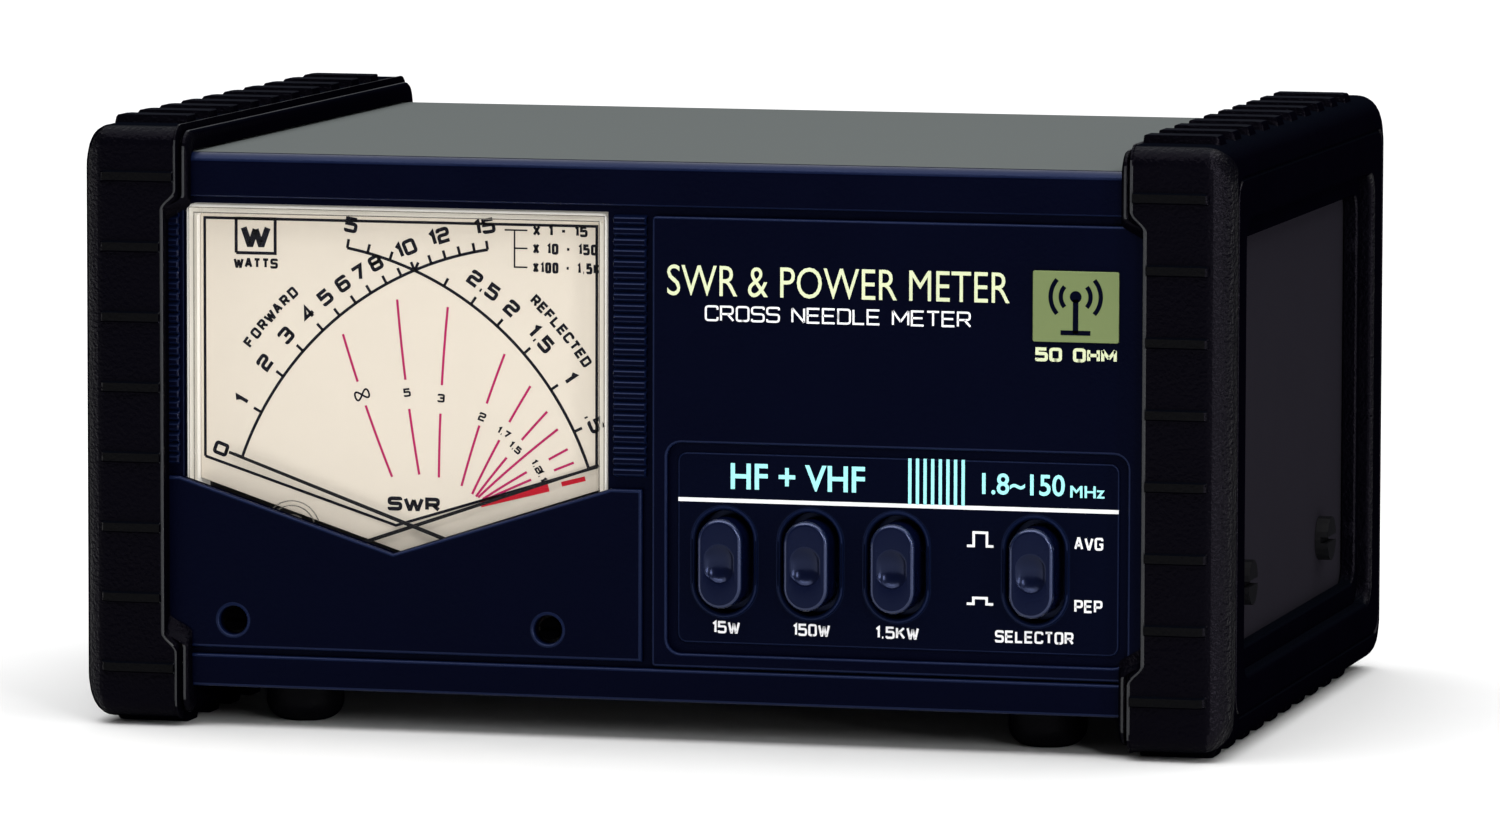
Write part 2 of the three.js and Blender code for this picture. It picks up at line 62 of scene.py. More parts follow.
FRONT_RISE, EDGE_RISE = 0.6, 1.0  # how far the ribs stand proud of a guard
TO_ROW = (
    Matrix.Translation((0, guard_low.y + FRONT_RISE * MM, guard_low.z + EDGE_RISE * MM))
    @ Matrix.Diagonal((MM, MM, MM, 1))
)
MIRROR = Matrix.Diagonal((-1, 1, 1, 1))


def bench_box(node):
    """Lowest and highest corner of a CAD node, in bench millimetres."""
    low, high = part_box(node)
    back = TO_ROW.inverted()
    return back @ low, back @ high


# ---- driving dimensions, bench millimetres ----
BODY = (104.0, 76.0)  # depth and height of a guard
HALF_WIDTH = 75.0
TAB_X = 60.6  # inner wall of a guard over the top and bottom bars
WAIST_X = 63.6  # inner wall beside the front panel
FILLET = 4.0
CORNER = 2.5  # corner radius of a guard seen from the side
RIB_END = 71.0  # where the ribs begin to fall away to the outer side
FRONT_RIBS = [6.63 + 8.99 * k for k in range(8)]
EDGE_RIBS = [6.2 + 9.1 * k for k in range(10)]
OPENING = {"y": (10, 94), "z": (8.8, 66.1)}
LEDGE = {"y": (11.2, 92.8), "z": (11.5, 63.4)}

PANEL_Y = 2.2
BASE_Y = 3.2
TOP_BAR = (67.0, 72.6)
BOTTOM_BAR = (4.2, 8.4)
PANEL_Z = (8.7, 65.8)
PANEL_BACK = 3.6
SAWTOOTH = {"z": (32.6, 65.9), "y": (2.35, 3.15), "count": 24}
RECESS = {"x": (2.1, 61.5), "z": (10.5, 37.2)}
PLATE = {"x": (3.3, 60.3), "z": (11.8, 36.0), "y": 3.0}
BUTTON_X = {"low_range": 9.4, "mid_range": 20.56, "high_range": 31.74, "selector": 49.58}
BUTTON = {"z": 22.2, "half_width": 2.9, "half_height": 5.7, "front": 0.2, "back": 6.4,
          "stem": 1.5, "stem_end": 20}
COIL = {"radius": 2.6, "wire": 0.22, "turns": 3.5, "ends": (7.8, 12.6)}
MASK = [(-66.5, 9.2), (-1.2, 9.2), (-1.2, 31.1), (-5.25, 31.1), (-33.9, 22.0),
        (-62.3, 31.1), (-66.5, 31.1)]
ADJUSTER_HOLES = [(-13.5, 12.9), (-55.2, 12.8)]
LENS_BORE = 1.7
LENS = {"x": (-61.85, -6.1), "y": (3.7, 10.0), "z": (9.9, 65.9), "wall": 1.2}
LENS_FACE = 0.9  # thickness of the lens's front
DIAL_Y = 5.9
BADGE = {"x": (49.3, 60.3), "z": (51.2, 60.1), "y": PANEL_Y - 0.35}
AERIAL = (54.8, 56.9)  # top of the pictogram's mast
INK = 0.03

FORWARD = {"x": -15.5, "z": 19.3, "radius": 42.0}
REFLECTED = {"x": -48.45, "z": 19.6, "radius": 41.6}
FORWARD_ANGLES = [160.4, 151.7, 144.2, 138.4, 133.2, 129.2, 125.5, 122.2, 118.9, 115.9,
                  113.3, 110.0, 107.3, 104.6, 101.9, 99.5]
REFLECTED_ANGLES = [19.1, 26.0, 34.4, 42.3, 49.1, 55.1, 60.9, 66.8, 71.7, 75.9, 79.7]


def linked(name, data):
    """A new object in the scene."""
    item = bpy.data.objects.new(name, data)
    bpy.context.scene.collection.objects.link(item)
    return item


# ---- shapes: (vertices, faces) ----
def at_depth(loop, y):
    """Points (x, z) as points in space."""
    return [(x, y, z) for x, z in loop]


def together(*shapes):
    verts, faces = [], []
    for some_verts, some_faces in shapes:
        start = len(verts)
        verts += some_verts
        faces += [tuple(start + i for i in face) for face in some_faces]
    return verts, faces


def loft(rings, closed=False, caps=True):
    """Skin over rings of equal length. A closed loft joins its last ring to its first."""
    n, count = len(rings[0]), len(rings)
    verts = [tuple(p) for ring in rings for p in ring]
    faces = []
    for i in range(count if closed else count - 1):
        a, b = i * n, (i + 1) % count * n
        faces += [(a + j, a + (j + 1) % n, b + (j + 1) % n, b + j) for j in range(n)]
    if caps and not closed:
        faces += [tuple(reversed(range(n))), tuple(range((count - 1) * n, count * n))]
    return verts, faces


def area(loop):
    """Area of a loop, negative where it runs clockwise."""
    return sum(a[0] * b[1] - b[0] * a[1] for a, b in zip(loop, loop[1:] + loop[:1])) / 2


def inset(loop, by):
    """The loop moved to its left by a distance, with mitred corners."""
    moved = []
    for i, p in enumerate(loop):
        before, here = Vector(loop[i - 1]), Vector(p)
        after = Vector(loop[(i + 1) % len(loop)])
        u, v = (here - before).normalized(), (after - here).normalized()
        across = Vector((-u.y - v.y, u.x + v.x))
        moved.append(tuple(here + across * (by / max(0.4, 1 + u.dot(v)))))
    return moved


def inside(point, loops):
    """Whether a point lies within the loops, those inside another being holes."""
    odd = False
    for loop in loops:
        for (x1, z1), (x2, z2) in zip(loop, loop[1:] + loop[:1]):
            if (z1 > point[1]) != (z2 > point[1]):
                odd ^= point[0] < x1 + (point[1] - z1) * (x2 - x1) / (z2 - z1)
    return odd


def cap(loops, y):
    """A flat face at depth y, bounded by the first loop and holed by the others."""
    flat = [Vector(p) for loop in loops for p in loop]
    edges, start = [], 0
    for loop in loops:
        edges += [(start + i, start + (i + 1) % len(loop)) for i in range(len(loop))]
        start += len(loop)
    points, _, triangles, *_ = delaunay_2d_cdt(flat, edges, [], 0, 1e-5)
    kept = [t for t in triangles
            if inside(sum((points[i] for i in t), Vector((0, 0))) / len(t), loops)]
    return at_depth(points, y), [tuple(t) for t in kept]


def quarter(steps, first=0):
    """Angles up to a right angle, in equal steps."""
    return [pi / 2 * k / steps for k in range(first, steps + 1)]


def plate(outline, front, back, holes=(), edge=0.3, steps=3):
    """A flat plate seen from the front, with its front edges and its holes' edges rounded."""
    loops = [outline if area(outline) > 0 else outline[::-1]]
    loops += [hole if area(hole) < 0 else hole[::-1] for hole in holes]
    shapes, fronts = [], []
    for loop in loops:
        rings = [at_depth(loop, back)]
        for turn in quarter(steps):
            moved = inset(loop, edge * (1 - cos(turn)))
            rings.append(at_depth(moved, front + edge * (1 - sin(turn))))
        fronts.append(moved)
        shapes.append(loft(rings, caps=False))
    return together(*shapes, cap(fronts, front), cap(loops, back))


def rectangle(x, z, radius=0.0, steps=5):
    if not radius:
        return [(x[0], z[0]), (x[1], z[0]), (x[1], z[1]), (x[0], z[1])]
    corners = [(x[1] - radius, z[0] + radius, -90), (x[1] - radius, z[1] - radius, 0),
               (x[0] + radius, z[1] - radius, 90), (x[0] + radius, z[0] + radius, 180)]
    return [(cx + radius * cos(radians(start + 90 * k / steps)),
             cz + radius * sin(radians(start + 90 * k / steps)))
            for cx, cz, start in corners for k in range(steps + 1)]


def oval(x, z, half_width, half_height, steps=16):
    """Two half circles joined by straight sides; a circle where both halves are equal."""
    reach = max(half_height - half_width, 0)
    return [(x + half_width * cos(pi * k / steps + turn),
             z + rise + half_width * sin(pi * k / steps + turn))
            for turn, rise in ((0, reach), (pi, -reach)) for k in range(steps + 1)]


def circle(x, z, radius, steps=32):
    return [(x + radius * cos(2 * pi * k / steps),
             z + radius * sin(2 * pi * k / steps)) for k in range(steps)]


def turned(axis, centre, profile, steps=32):
    """A profile of (radius, distance) turned round the y or z axis through centre (u, v)."""
    rings = []
    for radius, along in profile:
        ring = circle(*centre, max(radius, 0.01), steps)
        rings.append([(u, along, v) if axis == "y" else (u, v, along) for u, v in ring])
    return loft(rings)


def ribbon(points, width, y):
    """A printed line of even width along 2D points, a hair proud of depth y."""
    line = [Vector(p) for p in points]
    rings = []
    for i, p in enumerate(line):
        u = (p - line[max(i - 1, 0)]).normalized()
        v = (line[min(i + 1, len(line) - 1)] - p).normalized()
        u, v = (u or v), (v or u)
        across = Vector((-u.y - v.y, u.x + v.x)) * (width / 2 / max(0.4, 1 + u.dot(v)))
        a, b = p + across, p - across
        rings.append([(a.x, y - INK, a.y), (b.x, y - INK, b.y), (b.x, y, b.y), (a.x, y, a.y)])
    return loft(rings)


def spun(centre, u, v, angle):
    """The point (u, v) away from a centre, turned round it by an angle in degrees."""
    c, s = cos(radians(angle)), sin(radians(angle))
    return centre[0] + u * c - v * s, centre[1] + u * s + v * c


def lettering(text, centre, height, y, width, bold):
    """Printed text centred on a point and fitted to a height and a width."""
    curve = bpy.data.curves.new("lettering", "FONT")
    curve.body, curve.offset, curve.resolution_u = text, bold, 4
    curve.extrude = 0.5
    holder = linked("lettering", curve)
    bpy.context.view_layer.update()
    evaluated = holder.evaluated_get(bpy.context.evaluated_depsgraph_get())
    mesh = bpy.data.meshes.new_from_object(evaluated)
    xs, zs = [v.co.x for v in mesh.vertices], [v.co.y for v in mesh.vertices]
    middle = ((min(xs) + max(xs)) / 2, (min(zs) + max(zs)) / 2)
    tall, wide = height / (max(zs) - min(zs)), width / (max(xs) - min(xs))
    verts = [(centre[0] + (v.co.x - middle[0]) * wide, y - INK if v.co.z > 0 else y,
              centre[1] + (v.co.y - middle[1]) * tall) for v in mesh.vertices]
    faces = [tuple(p.vertices) for p in mesh.polygons]
    bpy.data.objects.remove(holder)
    return verts, faces


# Square-shouldered characters as strokes of x,z points on a grid six units tall, parted by
# bars. A point given twice is a sharp corner; the others are rounded.
STROKES = {
    "0": "2,0 4,0 4,6 0,6 0,0 2,0",
    "1": "0.4,4.9 1.7,6 1.7,6 1.7,0",
    "2": "0,4.7 0,6 4,6 4,3.1 0,3.1 0,0 0,0 4,0",
    "3": "0,5 0,6 4,6 4,3.1 1.2,3.1 | 3,3.1 4,3.1 4,0 0,0 0,1",
    "4": "4.2,1.7 0,1.7 0,1.7 2.9,6 2.9,6 2.9,0",
    "5": "4,6 0.1,6 0.1,6 0.1,3.5 0.1,3.5 4,3.5 4,0 0,0 0,1",
    "6": "4,5 4,6 0,6 0,0 4,0 4,3.4 0,3.4",
    "7": "0,6 4,6 4,6 1.4,0",
    "8": "2,3.1 0,3.1 0,6 4,6 4,3.1 2,3.1 | 2,3.1 4,3.1 4,0 0,0 0,3.1 2,3.1",
    "A": "0,0 1.8,6 1.8,6 2.4,6 2.4,6 4.2,0 | 0.7,2 3.5,2",
    "C": "4,4.6 4,6 0,6 0,0 4,0 4,1.4",
    "D": "0,3 0,0 0,0 4,0 4,6 0,6 0,6 0,3",
    "E": "4,6 0,6 0,6 0,0 0,0 4,0 | 0,3.1 3.6,3.1",
    "F": "4,6 0,6 0,6 0,0 | 0,3.1 3.6,3.1",
    "G": "4,4.8 4,6 0,6 0,0 4,0 4,2.8 4,2.8 2.3,2.8",
    "H": "0,0 0,6 | 4,0 4,6 | 0,3.1 4,3.1",
    "K": "0,0 0,6 | 4,6 0.4,2.6 | 1.5,3.6 4.2,0",
    "L": "0,6 0,0 0,0 3.6,0",
    "M": "0,0 0,6 | 0,6 2.6,1.4 | 2.6,1.4 5.2,6 | 5.2,6 5.2,0",
    "N": "0,0 0,6 | 0,6 4,0 | 4,0 4,6",
    "O": "2,0 4,0 4,6 0,6 0,0 2,0",
    "P": "0,0 0,6 0,6 4,6 4,2.7 0,2.7",
    "R": "0,0 0,6 0,6 4,6 4,2.8 0,2.8 | 2.2,2.8 4.2,0",
    "S": "4,5 4,6 0,6 0,3.1 4,3.1 4,0 0,0 0,1",
    "T": "0,6 4,6 | 2,6 2,0",
    "V": "0,6 1.8,0 1.8,0 2.4,0 2.4,0 4.2,6",
    "W": "0,6 1.4,0 1.4,0 1.8,0 1.8,0 3,5.4 | 3,5.4 4.2,0 4.2,0 4.6,0 4.6,0 6,6",
    "X": "0,0 4,6 | 0,6 4,0",
    ".": "0,0 0.7,0",
    "-": "0.2,3 2.6,3",
    " ": "0,0 2.2,0",
}


def strokes_of(letter):
    """The strokes of a character as lists of points."""
    return [[tuple(float(value) for value in point.split(",")) for point in line.split()]
            for line in STROKES[letter].split("|")]


def rounded(points, radius=1.1, steps=4):
    """A polyline with its inner corners rounded as far as its shorter side allows."""
    line = [Vector(points[0])]
    for before, here, after in zip(points, points[1:], points[2:]):
        back, corner, ahead = Vector(before), Vector(here), Vector(after)
        reach = min(radius, (back - corner).length / 2, (ahead - corner).length / 2)
        if reach < 0.01:
            line.append(corner)
            continue
        start = corner + (back - corner).normalized() * reach
        end = corner + (ahead - corner).normalized() * reach
        line += [start * (1 - t) ** 2 + corner * 2 * t * (1 - t) + end * t * t
                 for t in (k / steps for k in range(steps + 1))]
    line.append(Vector(points[-1]))
    return [p for p, q in zip(line, [None, *line]) if q is None or (p - q).length > 1e-3]


def stroked(text, centre, height, y, width=None, stroke=0.3, angle=0.0):
    """Text drawn with strokes of even thickness, fitted to a height and, if given, a width."""
    tall = (height - stroke) / 6
    spans = [max(x for line in strokes_of(letter) for x, _ in line) for letter in text]
    space = 0.1 * height + stroke
    used = space * (len(text) - 1) + stroke
    wide = (width - used) / sum(spans) if width else tall * 1.25
    total = used + wide * sum(spans)
    shapes, start = [], stroke / 2 - total / 2
    for letter, span in zip(text, spans):
        for line in strokes_of(letter) if letter != " " else []:
            placed = [spun(centre, start + p.x * wide, (p.y - 3) * tall, angle)
                      for p in rounded(line)]
            shapes.append(ribbon(placed, stroke, y))
        start += span * wide + space
    return together(*shapes)


# ---- materials ----
def connect(tree, node, sockets):
    """Each named input of the node takes a value, or a link where it is given an output."""
    for name, source in sockets.items():
        if isinstance(source, bpy.types.NodeSocket):
            tree.links.new(source, node.inputs[name])
        else:
            node.inputs[name].default_value = source


def node_of(tree, kind, sockets, output, **settings):
    """An output of a new shader node with these settings and inputs."""
    node = tree.nodes.new("ShaderNode" + kind)
    for name, value in settings.items():
        setattr(node, name, value)
    connect(tree, node, sockets)
    return node.outputs[output]


def noise(tree, size_mm, detail, stretch):
    """A procedural pattern in object space, with features about size_mm across."""
    place = node_of(tree, "TexCoord", {}, "Object")
    scaled = node_of(tree, "Mapping", {"Scale": stretch, "Vector": place}, "Vector")
    return node_of(tree, "TexNoise", {"Scale": 1 / (size_mm * MM), "Detail": detail,
                                      "Vector": scaled}, "Fac")


def ramp(tree, source, low, high, low_at=0.35, high_at=0.65):
    return node_of(tree, "MapRange", {"From Min": low_at, "From Max": high_at, "To Min": low,
                                      "To Max": high, "Value": source}, "Result")


def mixed(tree, share, first, second):
    """A colour between two, by a share from 0 to 1."""
    return node_of(tree, "Mix", {"Factor": share, "A": first, "B": second}, "Result",
                   data_type="RGBA")


def finish_of(name, colour, rough, metal=0.0, tone=0.15, grain=None, coat=0.0, specular=0.5,
              grazing=None, tint=(1, 1, 1), alpha=1.0, stretch=(1, 1, 1), painted_top_light=None,
              painted_glow=0.0):
    """A material whose tone, roughness and relief all vary over the surface.

    grain is (feature size in mm, bump height in mm). grazing is the specular level left where the
    surface is seen nearly edge-on. The colour for surfaces that face the sky is painted light: a
    lighter tone where light from above falls. The emission strength is a painted glow, which
    makes a part shine though it is no lamp.
    """
    material = bpy.data.materials.new(name)
    material.use_nodes = True
    tree = material.node_tree
    broad = noise(tree, 9.0, 4.0, stretch)
    base = mixed(tree, broad, (*[c * (1 - tone) for c in colour], 1),
                 (*[min(1, c * (1 + tone)) for c in colour], 1))
    # Painted light: surfaces that face up blend to a lighter colour, as if lit from above.
    if painted_top_light:
        normal = node_of(tree, "NewGeometry", {}, "Normal")
        rise = node_of(tree, "SeparateXYZ", {"Vector": normal}, "Z")
        base = mixed(tree, ramp(tree, rise, 0.0, 1.0, 0.5, 0.95), base, (*painted_top_light, 1))
    shader = tree.nodes["Principled BSDF"]
    # Emission Strength is a painted glow: a part given one shines though it is no lamp.
    connect(tree, shader, {
        "Base Color": base, "Roughness": ramp(tree, broad, rough - 0.04, rough + 0.08),
        "Metallic": metal, "Specular IOR Level": specular, "Specular Tint": (*tint, 1),
        "Coat Weight": coat, "Coat Roughness": 0.12, "Alpha": alpha,
        "Emission Color": (*colour, 1), "Emission Strength": painted_glow})
    if grazing is not None:
        facing = node_of(tree, "LayerWeight", {}, "Facing")
        connect(tree, shader,
                {"Specular IOR Level": ramp(tree, facing, specular, grazing, 0.25, 0.7)})
    if grain:
        size, height = grain
        relief = node_of(tree, "Bump", {"Distance": height * MM, "Strength": 1.0,
                                        "Height": noise(tree, size, 2.0, stretch)}, "Normal")
        connect(tree, shader, {"Normal": relief})
    return material


def ink(name, colour, rough, **others):
    """A thin, smooth printed film."""
    return finish_of(name, colour, rough, grain=(0.3, 0.003), **others)


BLUISH, WARM_BLACK = (0.42, 0.52, 1.0), (0.86, 0.78, 1.0)
navy = finish_of("navy_panel", (0.0005, 0.0008, 0.0057), 0.40, specular=0.05, grazing=0.0,
                 tint=BLUISH, grain=(0.42, 0.045))
# Rounded edges of the navy mouldings take a lighter blue: painted highlight.
navy_rounding_highlight = finish_of("navy_rounding_painted_highlight", (0.0022, 0.0050, 0.0220), 0.34, specular=0.25,
                      grazing=0.1, tint=BLUISH, grain=(0.42, 0.02))
navy_plate = finish_of("navy_switch_plate", (0.0006, 0.0011, 0.0066), 0.40, specular=0.05,
                       grazing=0.0, tint=BLUISH, grain=(0.36, 0.045))
# The lighter colour on the guards' up-facing surfaces is painted light from above.
guard_black = finish_of("guard_leather_grain", (0.0006, 0.0005, 0.0016), 0.34, tone=0.2,
                        specular=0.035, grazing=0.0, tint=WARM_BLACK, grain=(0.45, 0.12),
                        painted_top_light=(0.0014, 0.0018, 0.0034))
guard_round = finish_of("guard_round_edge", (0.0006, 0.0005, 0.0016), 0.30, tone=0.2,
                        specular=0.085, grazing=0.0, tint=WARM_BLACK, grain=(0.45, 0.2))
# Rib crests: a lighter colour than the guard, and lighter still facing up, as painted highlight.
rib_crest_highlight = finish_of("guard_rib_crest_painted_highlight", (0.0012, 0.0012, 0.0017), 0.40, specular=0.045,
                       grazing=0.0, grain=(0.45, 0.08), painted_top_light=(0.006, 0.0065, 0.009))
# A much lighter colour on the inner edge's raised line and bead: painted highlight.
guard_inner_edge_highlight = finish_of("guard_inner_edge_painted_highlight", (0.020, 0.021, 0.024), 0.35, specular=0.3,
                       grazing=0.1, grain=(0.45, 0.03))
cap_navy = finish_of("button_navy", (0.0010, 0.0022, 0.0130), 0.24, specular=0.18, grazing=0.1,
                     tint=BLUISH, grain=(0.5, 0.006))
# The caps' rounded front edges take a lighter blue: painted highlight.
cap_rim_highlight = finish_of("button_rim_painted_highlight", (0.0030, 0.0060, 0.0240), 0.22, specular=0.8, coat=0.3,
                     tint=BLUISH, grain=(0.5, 0.004))
# The dimple is glossier than the cap, and its colour a little darker: painted shade in the hollow.
cap_dimple = finish_of("button_dimple", (0.0010, 0.0020, 0.0110), 0.20, specular=0.34,
                       tint=BLUISH, grain=(0.5, 0.006))
rubber = finish_of("foot_rubber", (0.0008, 0.0007, 0.0018), 0.5, specular=0.06, grazing=0.0,
                   grain=(0.4, 0.08))
# Dark case paint whose up-facing surfaces take a much lighter grey: painted light from above.
cover_paint = finish_of("case_paint_with_painted_top_light", (0.012, 0.011, 0.015), 0.55, tone=0.05,
                        specular=0.03, grazing=0.0, grain=(0.30, 0.02),
                        painted_top_light=(0.080, 0.088, 0.087))
dial_cream = finish_of("dial_cream", (0.70, 0.63, 0.53), 0.70, tone=0.02, specular=0.2,
                       grain=(0.5, 0.004))
# The zero-adjust screws are near black with no gloss so the adjuster holes read as solid black: their
# own dark colour pushed further as painted shade.
screw_black_painted_shade = finish_of("deep_black_painted_shade", (0.0003, 0.0003, 0.0006), 0.8, specular=0.0, grazing=0.0,
                       grain=(0.3, 0.004))
ink_black = ink("dial_ink", (0.003, 0.003, 0.008), 0.6, specular=0.1)
ink_magenta = ink("dial_magenta", (0.42, 0.012, 0.10), 0.6, specular=0.1)
ink_red = ink("dial_red", (0.58, 0.008, 0.025), 0.6, specular=0.1)
ink_white = ink("panel_white", (0.93, 0.93, 0.95), 0.45, tone=0.03)
ink_cyan = ink("panel_pale_cyan", (0.36, 0.90, 0.90), 0.45, tone=0.04)
ink_gold = ink("panel_pale_gold", (0.66, 0.72, 0.45), 0.40)
# Grey for the lens's moulded arcs and for the lines along its walls' edges, which are painted shade.
lens_arc_and_edge_shade_grey = ink("lens_moulding_and_edge_shade", (0.16, 0.15, 0.13), 0.3, specular=0.4, alpha=0.60)
badge_gold = finish_of("badge_gold", (0.165, 0.215, 0.080), 0.40, metal=0.35,
                       grain=(0.4, 0.01), stretch=(1, 1, 0.15))
zinc = finish_of("zinc_plate", (0.42, 0.42, 0.40), 0.38, metal=0.85,
                 grain=(1.6, 0.02))
rear_paint = finish_of("rear_panel_paint", (0.030, 0.031, 0.034), 0.48,
                       grain=(0.32, 0.04))
steel = finish_of("black_screw_steel", (0.006, 0.006, 0.007), 0.36, specular=0.2,
                  grazing=0.0, grain=(0.25, 0.02))
nickel = finish_of("nickel_plate", (0.62, 0.61, 0.58), 0.24, metal=1.0,
                   grain=(0.5, 0.008))
brass = finish_of("contact_brass", (0.72, 0.52, 0.24), 0.27, metal=1.0,
                  grain=(0.4, 0.008))
insulator = finish_of("insulator_white", (0.80, 0.79, 0.75), 0.40, grain=(0.4, 0.01))
copper = finish_of("coil_copper", (0.55, 0.22, 0.10), 0.32, metal=0.9,
                   grain=(0.12, 0.03), stretch=(1, 6, 1))
needle_black = finish_of("needle_black", (0.004, 0.004, 0.006), 0.5, specular=0.15,
                         grain=(0.3, 0.004))
meter_black = finish_of("meter_black", (0.014, 0.014, 0.016), 0.45, grain=(0.4, 0.02))
board = finish_of("board_green", (0.020, 0.110, 0.050), 0.38, grain=(0.9, 0.02),
                  coat=0.3)
magnet = finish_of("magnet_steel", (0.30, 0.30, 0.31), 0.34, metal=0.9, grain=(0.5, 0.02))
ferrite = finish_of("ferrite_grey", (0.055, 0.055, 0.060), 0.68, grain=(0.4, 0.04))
wire_red = finish_of("wire_red", (0.42, 0.022, 0.018), 0.40, grain=(0.5, 0.01))
lamp_glass = finish_of("lamp_glass", (0.85, 0.80, 0.66), 0.08, specular=0.7, alpha=0.55,
                       grain=(0.9, 0.004))
lens_face = finish_of("lens_face", (0.20, 0.20, 0.20), 0.04, specular=0.5, alpha=0.012,
                      grain=(6.0, 0.004))
# The clear walls' near-opaque cream colour and their glow are painted light: they stand in for the
# light the walls pass and carry, and the glow makes them shine though they are no lamp.
lens_wall = finish_of("lens_wall", (0.95, 0.91, 0.84), 0.10, specular=0.6, alpha=0.90,
                      grain=(4.0, 0.008), painted_glow=0.16)


# ---- pieces ----
def add(name, shape, materials, body="case", replaces=(), sharp=32, mirrored=False,
        choose=None):
    """A finished piece from a bench-frame shape. choose picks a material by face, and a
    piece without a body is left without a parent."""
    materials = materials if isinstance(materials, (list, tuple)) else [materials]
    mesh = bpy.data.meshes.new(name)
    mesh.from_pydata(shape[0], [], shape[1])
    shell = bmesh.new()
    shell.from_mesh(mesh)
    bmesh.ops.remove_doubles(shell, verts=shell.verts, dist=1e-4)
    bmesh.ops.recalc_face_normals(shell, faces=shell.faces)
    for face in shell.faces:
        face.material_index = choose(face) if choose else 0
    if mirrored:
        bmesh.ops.transform(shell, matrix=MIRROR, verts=shell.verts)
        bmesh.ops.reverse_faces(shell, faces=shell.faces)
    shell.to_mesh(mesh)
    shell.free()
    mesh.transform(TO_ROW)
    mesh.shade_smooth()
    mesh.set_sharp_from_angle(angle=radians(sharp))
    for material in materials:
        mesh.materials.append(material)
    piece = linked(name, mesh)
    normals = piece.modifiers.new("face_weighted_normals", "WEIGHTED_NORMAL")
    normals.keep_sharp = True
    if body:
        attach(piece, body)
    if replaces:
        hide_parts(*replaces)
    return piece


# ---- side guards ----
def guard_columns():
    """Points round a guard's outline as (side, place along its straight part, corner turn)."""
    depth, height = BODY
    front, top = set(), set()
    for z in FRONT_RIBS:
        front |= {z - 0.72, z - 0.52, z + 0.52, z + 0.72}
    for k in range(12):
        front |= {8.5 + 0.26 * k, 65.1 + 0.26 * k}
    for y in EDGE_RIBS:
        top |= {y - 0.18, y + 0.04, y + 3.6, y + 3.95}
    shares = {
        "front": sorted((z - CORNER) / (height - 2 * CORNER) for z in front),
        "top": sorted((y - CORNER) / (depth - 2 * CORNER) for y in top),
    }
    shares = {side: [t for t in [0, *ts, 1] if 0 <= t <= 1] for side, ts in shares.items()}
    columns = []
    for side, source, step in (("front", "front", 1), ("top", "top", 1), ("rear", "front", -1),
                               ("bottom", "top", -1)):
        line = shares[source][::step]
        columns += [(side, t, 0.0) for t in line]
        columns += [(side, line[-1], turn / 6) for turn in range(1, 6)]
    return columns


def on_outline(column, insets, radius):
    """Where a column meets a rounded rectangle inset by (front, rear, bottom, top)."""
    side, t, turn = column
    low_y, high_y = insets[0], BODY[0] - insets[1]
    low_z, high_z = insets[2], BODY[1] - insets[3]
    y = low_y + radius + t * (high_y - low_y - 2 * radius)
    z = low_z + radius + t * (high_z - low_z - 2 * radius)
    straight = {"front": (low_y, z, 180), "top": (y, high_z, 90), "rear": (high_y, z, 0),
                "bottom": (y, low_z, 270)}[side]
    heading = radians(straight[2] - 90 * turn)
    if not turn:
        return straight[0], straight[1], heading
    centre = (low_y + radius if side in ("front", "bottom") else high_y - radius,
              high_z - radius if side in ("front", "top") else low_z + radius)
    return (centre[0] + radius * cos(heading), centre[1] + radius * sin(heading),
            heading)


def waist(z):
    """0 over the bars, 1 beside the front panel, with an S-curve between."""
    def rise(a, b):
        t = min(max((z - a) / (b - a), 0), 1)
        return t * t * (3 - 2 * t)
    return rise(8.7, 11.2) * (1 - rise(65.3, 67.8))


def rib_height(column, y, z):
    """How far the ribs stand out at a point of a guard's outline."""
    side, _, turn = column
    if turn:
        return 0.0
    if side in ("front", "rear"):
        return FRONT_RISE if any(abs(z - rib) < 0.6 for rib in FRONT_RIBS) else 0.0
    return EDGE_RISE if any(rib - 0.05 < y < rib + 3.7 for rib in EDGE_RIBS) else 0.0


# The inner edge of a guard as (distance from the wall, depth below the face): beaded over the
# bars and plain beside the front panel.
BEAD = [(0, 1.9), (0.06, 1.35), (0.22, 0.95), (0.5, 0.72), (0.8, 0.68), (1.05, 0.82), (1.2, 1.1),
        (1.3, 1.1), (1.36, 0.05), (1.44, -0.12), (1.66, -0.12), (1.78, 0.0)]
PLAIN_EDGE = [(0, 0.9), (0, 0.75), (0.02, 0.6), (0.03, 0.45), (0.04, 0.32), (0.06, 0.2),
              (0.09, 0.08), (0.13, -0.02), (0.18, -0.09), (0.25, -0.12), (0.45, -0.12), (0.57, 0.0)]


